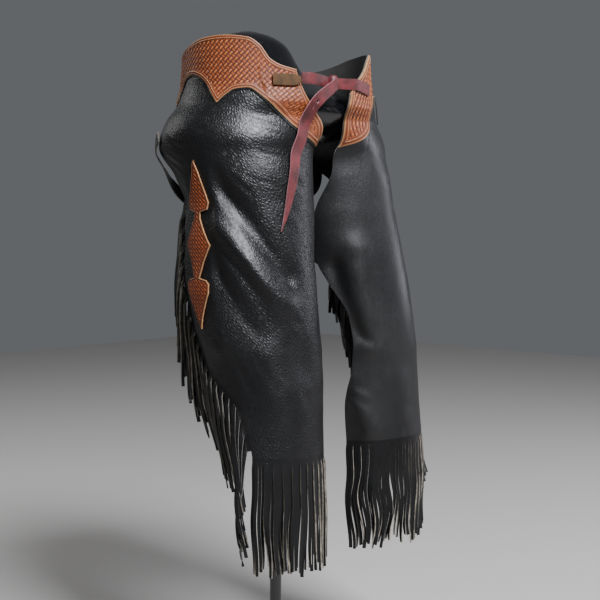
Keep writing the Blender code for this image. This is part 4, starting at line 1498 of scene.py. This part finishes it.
@dataclass
class Fringe:
    """A strip beside a cut edge and the strands that hang from it."""

    shape: LegShape
    finishes: Finishes
    style: StrandStyle
    cut: bpy.types.Material
    width: float = 6.1 * MM
    leather: float = 2.0 * MM
    strip: float = 6.0 * MM
    joints: int = 16
    edge_low: float = 0.423
    edge_high: float = 0.802
    edge_steps: int = 400
    thinning: float = 0.45

    def outer_stations(self) -> list[Station]:
        """Returns points, normals and ways out along the outer edge, sparser where it is steep."""
        steps, fall = self.edge_steps, self.edge_low - self.edge_high
        heights = [self.edge_high + fall * i / steps for i in range(steps + 1)]
        line = [self.shape.panel_point(1.0, z) for z in heights]
        lengths = [0.0]
        for a, b in zip(line, line[1:]):
            steep = abs(b.z - a.z) / (b - a).length
            lengths.append(lengths[-1] + (b - a).length * (1 - self.thinning * steep ** 4))
        stations = []
        for k in range(2 * self.style.count):
            pair, second = divmod(k, 2)
            goal = lengths[-1] * (pair + (0.88 if second else 0.0)) / (self.style.count - 0.12)
            i = min(range(len(lengths)), key=lambda n: abs(lengths[n] - goal))
            along = (line[min(i + 4, steps)] - line[max(i - 4, 0)]).normalized()
            normal = self.shape.normal(self.shape.turn_at(1.0, heights[i]), heights[i])
            normal = (normal - along * normal.dot(along)).normalized()
            away = (along.cross(normal) * -self.shape.side.value).normalized()
            stations.append((line[i], normal, away))
        return stations

    def hem_stations(self) -> list[Station]:
        """Returns points, normals and ways down along the hem."""
        stations = []
        for k in range(2 * self.style.count):
            pair, second = divmod(k, 2)
            across = (pair + (0.94 if second else 0.0)) / (self.style.count - 0.06)
            height = hem_height(across)
            turn = self.shape.turn_at(across, height)
            point = self.shape.turned_point(turn, height)
            stations.append((point, self.shape.normal(turn, height), Vector((0, 0, -1))))
        return stations

    def middles(
        self, root: Vector, away: Vector, normal: Vector, number: int, draw: random.Random
    ) -> list[Vector]:
        """Returns the middle line of a strand.

        Args:
            root: where it leaves the strip.
            away: the way out of the cut edge.
            normal: the way that its face looks.
            number: its place in the row.
            draw: the fringe's own random numbers.

        Returns:
            Points from its root down to its tip.
        """
        level = Vector((away.x, away.y, 0.0))
        if level.length > 0.01:
            lean, out_lean, step = (table_value(FRINGE_HANG, column, root.z) for column in (1, 2, 3))
            layers = 4
        else:
            lean, out_lean, step, layers = 0.0, 0.0, 0.0018, 3
        layer = (number % layers + 0.5) * step
        side_way = Vector((-normal.y, normal.x, 0.0)).normalized()
        sway = math.sin(number * 0.37) * 0.004 + draw.uniform(-1, 1) * 0.0025
        length = self.style.length * (1 + draw.uniform(-1, 1) * self.style.spread)
        wave, phase = self.style.wave * draw.uniform(0.7, 1.2), number * 0.16 + draw.uniform(-0.3, 0.3)
        turns = draw.uniform(1.15, 1.35)
        middles, point = [], root
        for joint in range(1, self.joints + 1):
            share = joint / self.joints
            pull = Vector((0, -lean, -1)) + level * 0.30 * (1 - share) + normal * out_lean
            point = point + pull.normalized() * length / self.joints
            out = layer * math.sin(0.5 * math.pi * min(1.0, 0.35 + share))
            grown = ease(share * 1.8)
            swing = wave * grown * math.sin(phase + share * turns * 2 * math.pi)
            bow = 0.5 * wave * grown * math.cos(phase * 1.7 + share * turns * 1.6 * math.pi)
            middles.append(point + normal * (out + bow) + side_way * (sway * share * share + swing))
        return middles

    def build(self, stations: Sequence[Station]) -> bpy.types.Object:
        """Builds the strip and its strands as one mesh."""
        draw = random.Random(self.style.seed)
        half = self.leather / 2
        points, faces, which = [], [], []
        for point, normal, away in stations:
            near = point + away * 0.05 * MM
            far = point + away * (SEAM_GAP + self.strip)
            points += [near + normal * half, near - normal * half, far + normal * half, far - normal * half]
        for k in range(len(stations) - 1):
            a, b = 4 * k, 4 * (k + 1)
            faces += [(a, b, b + 2, a + 2), (a + 1, a + 3, b + 3, b + 1), (a, a + 1, b + 1, b)]
            which += [0, 0, 0]
            if k % 2:
                faces.append((a + 2, b + 2, b + 3, a + 3))
                which.append(1)
        last = 4 * (len(stations) - 1)
        faces += [(0, 2, 3, 1), (last, last + 1, last + 3, last + 2)]
        which += [1, 1]
        for k in range(0, len(stations), 2):
            self._strand(k, stations, points, faces, which, draw)
        made = MeshMaker.add(
            f"{self.style.name}_strands_{self.shape.side.word}",
            points,
            faces,
            [self.finishes.strand, self.cut],
            which,
            sharp=50,
        )
        MeshMaker.point_out(made)
        return made

    def _strand(
        self,
        k: int,
        stations: Sequence[Station],
        points: list[Vector],
        faces: list[tuple[int, ...]],
        which: list[int],
        draw: random.Random,
    ) -> None:
        """Adds the strand that hangs between two neighbouring stations.

        Args:
            k: the first station's number.
            stations: the row's points, normals and ways out.
            points: the mesh's corners, which it adds to.
            faces: the mesh's faces, likewise.
            which: the material's number for each face, likewise.
            draw: the fringe's own random numbers.
        """
        half = self.leather / 2
        ring = [4 * k + 2, 4 * k + 6, 4 * k + 7, 4 * k + 3]
        root = (points[ring[0]] + points[ring[2]]) / 2
        normal, away = stations[k][1], stations[k][2]
        middles = self.middles(root, away, normal, k // 2, draw)
        edge = (points[ring[1]] - points[ring[0]]).normalized()
        twist = draw.uniform(-1, 1) * self.style.curl
        wide = self.width * draw.uniform(0.86, 1.10)
        before = root
        for joint, middle in enumerate(middles):
            share = (joint + 1) / len(middles)
            along = (middle - before).normalized()
            face = (normal - along * normal.dot(along)).normalized()
            across = along.cross(face)
            across = across if across.dot(edge) > 0 else -across
            angle = twist * share * share
            face, across = (
                face * math.cos(angle) + across * math.sin(angle),
                across * math.cos(angle) - face * math.sin(angle),
            )
            width = wide * (1.0 - 0.12 * share)
            start = len(points)
            points += [middle - across * width / 2 + face * half, middle + across * width / 2 + face * half]
            points += [middle + across * width / 2 - face * half, middle - across * width / 2 - face * half]
            new_ring = list(range(start, start + 4))
            for i in range(4):
                faces.append((ring[i], ring[(i + 1) % 4], new_ring[(i + 1) % 4], new_ring[i]))
                which.append(i % 2)
            ring = new_ring
            before = middle
        faces.append(tuple(ring))
        which.append(1)


@dataclass
class FrontTie:
    """The burgundy latigo tie: its suede end, its bands, its knot and its pointed tail."""

    right: LegShape
    left: LegShape
    finishes: Finishes
    knot: Vector
    band_width: float = 0.018
    band_height: float = 0.991
    end_height: float = 0.987
    hole_joint: int = 10
    slit_joint: int = 13

    def _face(self) -> list[bpy.types.Material]:
        """Returns the latigo's finishes for face, back and cut edges."""
        return [self.finishes.latigo, self.finishes.latigo, self.finishes.cut_latigo]

    def build_end(self) -> bpy.types.Object:
        """Returns the suede end that lies on the right yoke."""
        on_yoke = ON_YOKE + STRAP_SEAT + LATIGO_LEATHER / 2
        turns = MeshMaker.smooth_numbers([41.5, 37.5, 33.5, 29.5, 26.2], 6)
        middles = [self.right.turned_point(turn, self.end_height, on_yoke) for turn in turns]
        normals = [self.right.normal(turn, self.end_height) for turn in turns]
        widths = MeshMaker.smooth_numbers([0.0165, 0.0172, 0.0175, 0.0165, 0.0100], 6)
        materials = [self.finishes.suede, self.finishes.suede, self.finishes.cut_tan]
        return MeshMaker.strap("tie_suede_end", middles, normals, widths, LATIGO_LEATHER, materials)

    def build_band(self, side: Side) -> bpy.types.Object:
        """Returns the band from the knot to one yoke."""
        shape = self.right if side is Side.RIGHT else self.left
        turns = (19.5, 22.5, 25.6) if side is Side.RIGHT else (13.0, 19.0, 23.5, 28.0)
        seated = ON_YOKE + STRAP_SEAT + LATIGO_LEATHER / 2
        ahead = Vector((0, -1, 0))
        fall = 0.0 if side is Side.RIGHT else 0.0075
        heights = [self.band_height - fall * (k + 1) / len(turns) for k in range(len(turns))]
        landing = [shape.turned_point(turn, z, seated) for turn, z in zip(turns, heights)]
        beside = self.knot + Vector((side.value * 0.0100, 0, 0))
        way = [beside, beside.lerp(landing[0], 0.5) + ahead * 0.001] + landing
        normals = [ahead, ahead] + [shape.normal(turn, self.band_height) for turn in turns]
        parts = 8
        middles = MeshMaker.smooth_way(way, parts)
        widths = [self.band_width * (1 - 0.10 * math.exp(-k / 5)) for k in range(len(middles))]
        return MeshMaker.strap(
            f"tie_latigo_band_{side.word}",
            middles,
            MeshMaker.smooth_way(normals, parts),
            widths,
            LATIGO_LEATHER,
            self._face(),
        )

    def build_tail(self) -> bpy.types.Object:
        """Returns the pointed tail, with its punched hole and the slit above it."""
        ahead = Vector((0, -1, 0))
        way = [self.knot + Vector(step) for step in TAIL_STEPS]
        way += [self.right.turned_point(turn, z, lift) for turn, z, lift in TAIL_WAY]
        normals = [ahead, ahead] + [self.right.normal(turn, z) for turn, z, _ in TAIL_WAY]
        parts = 10
        middles = MeshMaker.smooth_way(way, parts)
        widths = MeshMaker.smooth_numbers(TAIL_WIDTHS, parts)
        tail = MeshMaker.strap(
            "tie_latigo_tail",
            middles,
            MeshMaker.smooth_way(normals, parts),
            widths,
            LATIGO_LEATHER,
            self._face(),
            across=10,
        )
        self._punch(tail, middles[self.hole_joint], ahead, (0.0024, 0.0026))
        self._punch(tail, middles[self.slit_joint], ahead, (0.0008, 0.0040))
        return tail

    @staticmethod
    def _punch(piece: bpy.types.Object, centre: Vector, normal: Vector, radii: tuple[float, float]) -> None:
        """Cuts a round or oval hole through a strap."""
        sides, reach = 20, 0.02
        points = []
        for end in (-reach, reach):
            for k in range(sides):
                angle = 2 * math.pi * k / sides
                offset = Vector((radii[0] * math.cos(angle), 0, radii[1] * math.sin(angle)))
                points.append(centre + offset + normal * end)
        faces = MeshMaker.ring_faces(1, sides)
        faces += [tuple(reversed(range(sides))), tuple(sides + k for k in range(sides))]
        material = piece.data.materials[2]
        cutter = MeshMaker.add("cutter", points, faces, [material])
        MeshMaker.point_out(cutter)
        cut = piece.modifiers.new("hole", "BOOLEAN")
        cut.operation = "DIFFERENCE"
        cut.object = cutter
        cut.solver = "EXACT"
        bpy.context.view_layer.update()
        graph = bpy.context.evaluated_depsgraph_get()
        mesh = bpy.data.meshes.new_from_object(piece.evaluated_get(graph))
        piece.modifiers.remove(cut)
        piece.data = mesh
        bpy.data.objects.remove(cutter)

    def build_knot(self) -> bpy.types.Object:
        """Returns the wrapped knot: a plump core under a flat turn of latigo."""
        points, faces, which = [], [], []
        rings, sides = 14, 32
        for ring in range(rings + 1):
            lean = math.pi * (0.04 + 0.92 * ring / rings)
            reach, drop = math.sin(lean) ** 0.55, math.cos(lean)
            for k in range(sides):
                angle = 2 * math.pi * k / sides
                groove = 1 - 0.10 * math.exp(-(((drop - 0.35 * math.sin(angle)) / 0.10) ** 2))
                groove -= 0.07 * math.exp(-(((drop + 0.45 + 0.2 * math.cos(angle)) / 0.10) ** 2))
                x = 0.0092 * reach * math.cos(angle) * groove
                y = 0.0087 * reach * math.sin(angle) * groove
                points.append(self.knot + Vector((x, y, 0.0126 * drop)))
        for ring in range(rings):
            for k in range(sides):
                a, b = ring * sides + k, ring * sides + (k + 1) % sides
                faces.append((a, a + sides, b + sides, b))
                which.append(0)
        last = rings * sides
        faces += [tuple(range(sides)), tuple(last + k for k in reversed(range(sides)))]
        which += [0, 0]
        made = MeshMaker.add("tie_latigo_knot", points, faces, self._face(), which)
        MeshMaker.point_out(made)
        return made


@dataclass
class Straps:
    """The black straps behind the thighs and across the centre back, and the lace ends."""

    shapes: dict[Side, LegShape]
    finishes: Finishes
    thigh_width: float = 0.020
    back_width: float = 0.024
    back_height: float = 1.006

    def _face(self) -> list[bpy.types.Material]:
        """Returns a black strap's finishes for face, back and cut edges."""
        return [self.finishes.satin, self.finishes.satin, self.finishes.cut_black]

    def build_thigh(self, side: Side) -> bpy.types.Object:
        """Returns the strap that closes one leg behind the thigh."""
        shape = self.shapes[side]
        way = [*THIGH_WAY, THIGH_SEAT[side]]
        middles = [shape.turned_point(turn, z, lift) for turn, z, lift in way]
        normals = [shape.normal(turn, z) for turn, z, _ in way]
        parts = 6
        smooth = MeshMaker.smooth_way(middles, parts)
        ups = MeshMaker.smooth_way(normals, parts)
        widths = [self.thigh_width] * len(smooth)
        name = f"thigh_band_{side.word}"
        return MeshMaker.strap(name, smooth, ups, widths, STRAP_LEATHER, self._face())

    def build_lace(
        self, name: str, side: Side, way: Sequence[tuple[float, float, float]]
    ) -> bpy.types.Object:
        """Returns a narrow lace along turns, heights and lifts."""
        shape = self.shapes[side]
        middles = MeshMaker.smooth_way([shape.turned_point(*spot) for spot in way], 6)
        normals = MeshMaker.smooth_way([shape.normal(turn, z) for turn, z, _ in way], 6)
        widths = [0.0080 - 0.0030 * k / len(middles) for k in range(len(middles))]
        return MeshMaker.strap(name, middles, normals, widths, 0.0022, self._face(), across=4)

    def build_back(self) -> bpy.types.Object:
        """Returns the strap that joins the yokes behind."""
        shape = self.shapes[Side.RIGHT]
        lift = ON_YOKE + STRAP_SEAT + STRAP_LEATHER / 2
        turns = (158, 164, 170, 176)
        middles = [shape.turned_point(turn, self.back_height, lift) for turn in turns]
        normals = [shape.normal(turn, self.back_height) for turn in turns]
        middles += [Vector((-p.x, p.y, p.z)) for p in reversed(middles)]
        normals += [Vector((-n.x, n.y, n.z)) for n in reversed(normals)]
        smooth, ups = MeshMaker.smooth_way(middles, 6), MeshMaker.smooth_way(normals, 6)
        widths = [self.back_width] * len(smooth)
        return MeshMaker.strap("centre_back_strap", smooth, ups, widths, STRAP_LEATHER, self._face())


@dataclass
class Stand:
    """The hip form, its pole and its round foot."""

    finishes: Finishes
    sides: int = 96
    levels: int = 90

    def build_form(self) -> bpy.types.Object:
        """Returns the form, as large as its frame solid lets it be."""
        low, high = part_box("dress_form")
        scale = (high.x - low.x) / 2 / max(row[1] for row in FORM_RINGS)
        points = []
        number = list(range(len(FORM_RINGS)))
        columns = [[ring[c] for ring in FORM_RINGS] for c in range(4)]
        for level in range(self.levels + 1):
            place = (level / self.levels) * (len(FORM_RINGS) - 1)
            height, wide, deep, back = (smooth_value(number, column, place) for column in columns)
            for k in range(self.sides):
                angle = 2 * math.pi * k / self.sides
                x = wide * scale * math.cos(angle)
                points.append(Vector((x, back + deep * scale * math.sin(angle), height)))
        faces = MeshMaker.ring_faces(self.levels, self.sides)
        last = self.levels * self.sides
        crown = len(points)
        points.append(Vector((0, FORM_RINGS[-1][3], FORM_RINGS[-1][0] + 0.0006)))
        faces += [(last + k, last + (k + 1) % self.sides, crown) for k in range(self.sides)]
        faces.append(tuple(reversed(range(self.sides))))
        return MeshMaker.add("hip_form", points, faces, [self.finishes.plastic], sharp=60)

    def build_pole(self) -> bpy.types.Object:
        """Returns the pole, with a collar at its foot and under the form."""
        low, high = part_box("stand_pole")
        radius = (high.x - low.x) / 2
        wide, ring = radius + 0.006, 0.016
        profile = [
            (wide, low.z),
            (wide, low.z + ring),
            (wide - 0.0015, low.z + ring + 0.0015),
            (radius, low.z + ring + 0.0016),
            (radius, high.z - ring),
            (wide - 0.0015, high.z - ring + 0.0001),
            (wide, high.z - ring + 0.0016),
            (wide, high.z),
        ]
        return MeshMaker.turned("enamel_pole", profile, 56, self.finishes.steel)

    def build_foot(self) -> bpy.types.Object:
        """Returns the round foot plate, with a rolled rim."""
        low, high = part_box("stand_foot")
        radius, thick = (high.x - low.x) / 2, high.z - low.z
        arc = [math.radians(90 * k / 8) for k in range(9)]
        roll = thick * 0.45
        profile = [(radius - 0.001, low.z), (radius, low.z + 0.001)]
        profile += [(radius - roll + roll * math.cos(a), high.z - roll + roll * math.sin(a)) for a in arc]
        profile += [(radius * 0.30, high.z - 0.0002), (radius * 0.12, high.z)]
        return MeshMaker.turned("enamel_foot", profile, 96, self.finishes.steel)


@dataclass
class Studio:
    """The floor, the lights and the camera."""

    azimuth: float = -47.0
    distance: float = 2.0
    camera_height: float = 0.77
    aim_height: float = 0.634
    slide: float = 0.042
    view_angle: float = 28.6
    floor_size: float = 9.0

    def build(self) -> None:
        """Builds the whole studio."""
        self._floor()
        self._camera()
        self._light("key", (-0.45, -1.9, 2.9), (0.02, -0.1, 0.75), 0.9, 250.0, "#f5f8ff")
        self._light("fill", (-2.9, -0.6, 1.5), (0, 0, 0.7), 1.4, 4.0, "#eef2ff")
        self._light("side", (2.5, -1.2, 1.4), (0.1, 0, 0.6), 1.2, 26.0, "#f4f4ff")
        self._light("rim", (-0.8, 2.6, 2.2), (0, 0, 0.8), 1.5, 22.0, "#ffffff")
        world = bpy.data.worlds.new("studio")
        world.use_nodes = True
        world.node_tree.nodes["Background"].inputs["Color"].default_value = linear("#dfe3ea")
        world.node_tree.nodes["Background"].inputs["Strength"].default_value = 0.17
        bpy.context.scene.world = world

    def _floor(self) -> None:
        """Adds the pale floor, which isn't part of the object."""
        half = self.floor_size / 2
        points = [Vector((x * half, y * half, -0.0002)) for x, y in ((-1, -1), (1, -1), (1, 1), (-1, 1))]
        floor = MeshMaker.add("floor", points, [(0, 1, 2, 3)], [StudioFloor().build()])

    def _camera(self) -> None:
        """Adds the camera where the photograph was taken from."""
        angle = math.radians(self.azimuth)
        right = Vector((math.cos(angle), math.sin(angle), 0.0))
        back = Vector((math.sin(angle), -math.cos(angle), 0.0))
        place = back * self.distance + right * self.slide + Vector((0, 0, self.camera_height))
        aim = right * self.slide + Vector((0, 0, self.aim_height))
        camera = bpy.data.cameras.new("camera")
        camera.angle = math.radians(self.view_angle)
        holder = bpy.data.objects.new("camera", camera)
        holder.location = place
        holder.rotation_euler = (aim - place).to_track_quat("-Z", "Y").to_euler()
        bpy.context.scene.collection.objects.link(holder)
        bpy.context.scene.camera = holder

    @staticmethod
    def _light(name: str, place: tuple, aim: tuple, size: float, power: float, colour: str) -> None:
        """Adds one soft square light."""
        lamp = bpy.data.lights.new(name, "AREA")
        lamp.size = size
        lamp.energy = power
        lamp.color = linear(colour)[:3]
        holder = bpy.data.objects.new(name, lamp)
        holder.location = place
        holder.rotation_euler = (Vector(aim) - Vector(place)).to_track_quat("-Z", "Y").to_euler()
        bpy.context.scene.collection.objects.link(holder)


@dataclass
class Chaps:
    """The whole garment on its stand."""

    finishes: Finishes

    def place(self, piece: bpy.types.Object, slot: str, *nodes: str) -> bpy.types.Object:
        """Rides a piece on the body, hides the frame's parts that it stands for and logs its triangles."""
        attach(piece, BODY)
        if nodes:
            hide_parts(*nodes)
        faces = sum(len(p.vertices) - 2 for p in piece.data.polygons)
        LOG.info("%s: %d triangles", piece.name, faces)
        return piece

    def build(self) -> None:
        """Builds every piece in order."""
        shapes = {side: LegShape(side) for side in Side}
        stitches = StitchTree(self.finishes.thread)
        stand = Stand(self.finishes)
        self.place(stand.build_form(), "form_plastic", "dress_form")
        self.place(stand.build_pole(), "stand_steel", "stand_pole")
        self.place(stand.build_foot(), "stand_steel", "stand_foot")
        for side in Side:
            self._leg(side, shapes[side], stitches)
        self._tie(shapes)
        straps = Straps(shapes, self.finishes)
        for side in Side:
            strap = self.place(straps.build_thigh(side), "black_leather", f"thigh_strap_{side.word}")
        back = self.place(straps.build_back(), "black_leather", "back_strap")

    def _leg(self, side: Side, shape: LegShape, stitches: StitchTree) -> None:
        """Builds one leg's leather, yoke, applique and fringe."""
        word = side.word
        panel = self.place(LegPanel(shape, self.finishes).build(), "black_leather", f"leg_{word}")
        right = side is Side.RIGHT
        outer_style = StrandStyle("fringe_outer", 76, 0.166, 0.0026, 1.5, 11 if right else 12)
        hem_wave, hem_seed = (0.0020, 21) if right else (0.0050, 22)
        hem_style = StrandStyle("fringe_hem", 46, 0.166, hem_wave, 1.7, hem_seed)
        outer = Fringe(shape, self.finishes, outer_style, self.finishes.cut_outer)
        hem = Fringe(shape, self.finishes, hem_style, self.finishes.cut_hem)
        outer_piece = self.place(outer.build(outer.outer_stations()), "black_leather", f"fringe_outer_{word}")
        hem_piece = self.place(hem.build(hem.hem_stations()), "black_leather", f"fringe_hem_{word}")
        yoke = Yoke(shape, self.finishes, stitches)
        leather = self.place(yoke.build(), "russet_leather", f"yoke_{word}")
        seams = self.place(yoke.sew(), "russet_leather")
        straps = Straps({side: shape}, self.finishes)
        lace = self.place(straps.build_lace(f"lace_end_{word}", side, LACE_WAYS[side]), "black_leather")
        strip = self.place(Underlay(shape, self.finishes).build(), "black_leather")
        patch = self.place(Applique(shape, self.finishes).build(), "russet_leather", f"applique_{word}")

    def _tie(self, shapes: dict[Side, LegShape]) -> None:
        """Builds the front tie."""
        tie = FrontTie(shapes[Side.RIGHT], shapes[Side.LEFT], self.finishes, Vector((-0.010, -0.1385, 0.988)))
        end = self.place(tie.build_end(), "tan_suede", "tie_end")
        bands = [self.place(tie.build_band(s), "burgundy_latigo", f"tie_band_{s.word}") for s in Side]
        self.place(tie.build_knot(), "burgundy_latigo", "tie_knot")
        tail = self.place(tie.build_tail(), "burgundy_latigo", "tie_tail")


def main() -> None:
    """Builds the chaps, their stand and the studio around the frame."""
    logging.basicConfig(level=logging.INFO, format="%(name)s: %(message)s")
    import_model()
    Chaps(Finishes()).build()
    Studio().build()
    bpy.context.view_layer.update()


if __name__ == "__main__":
    main()
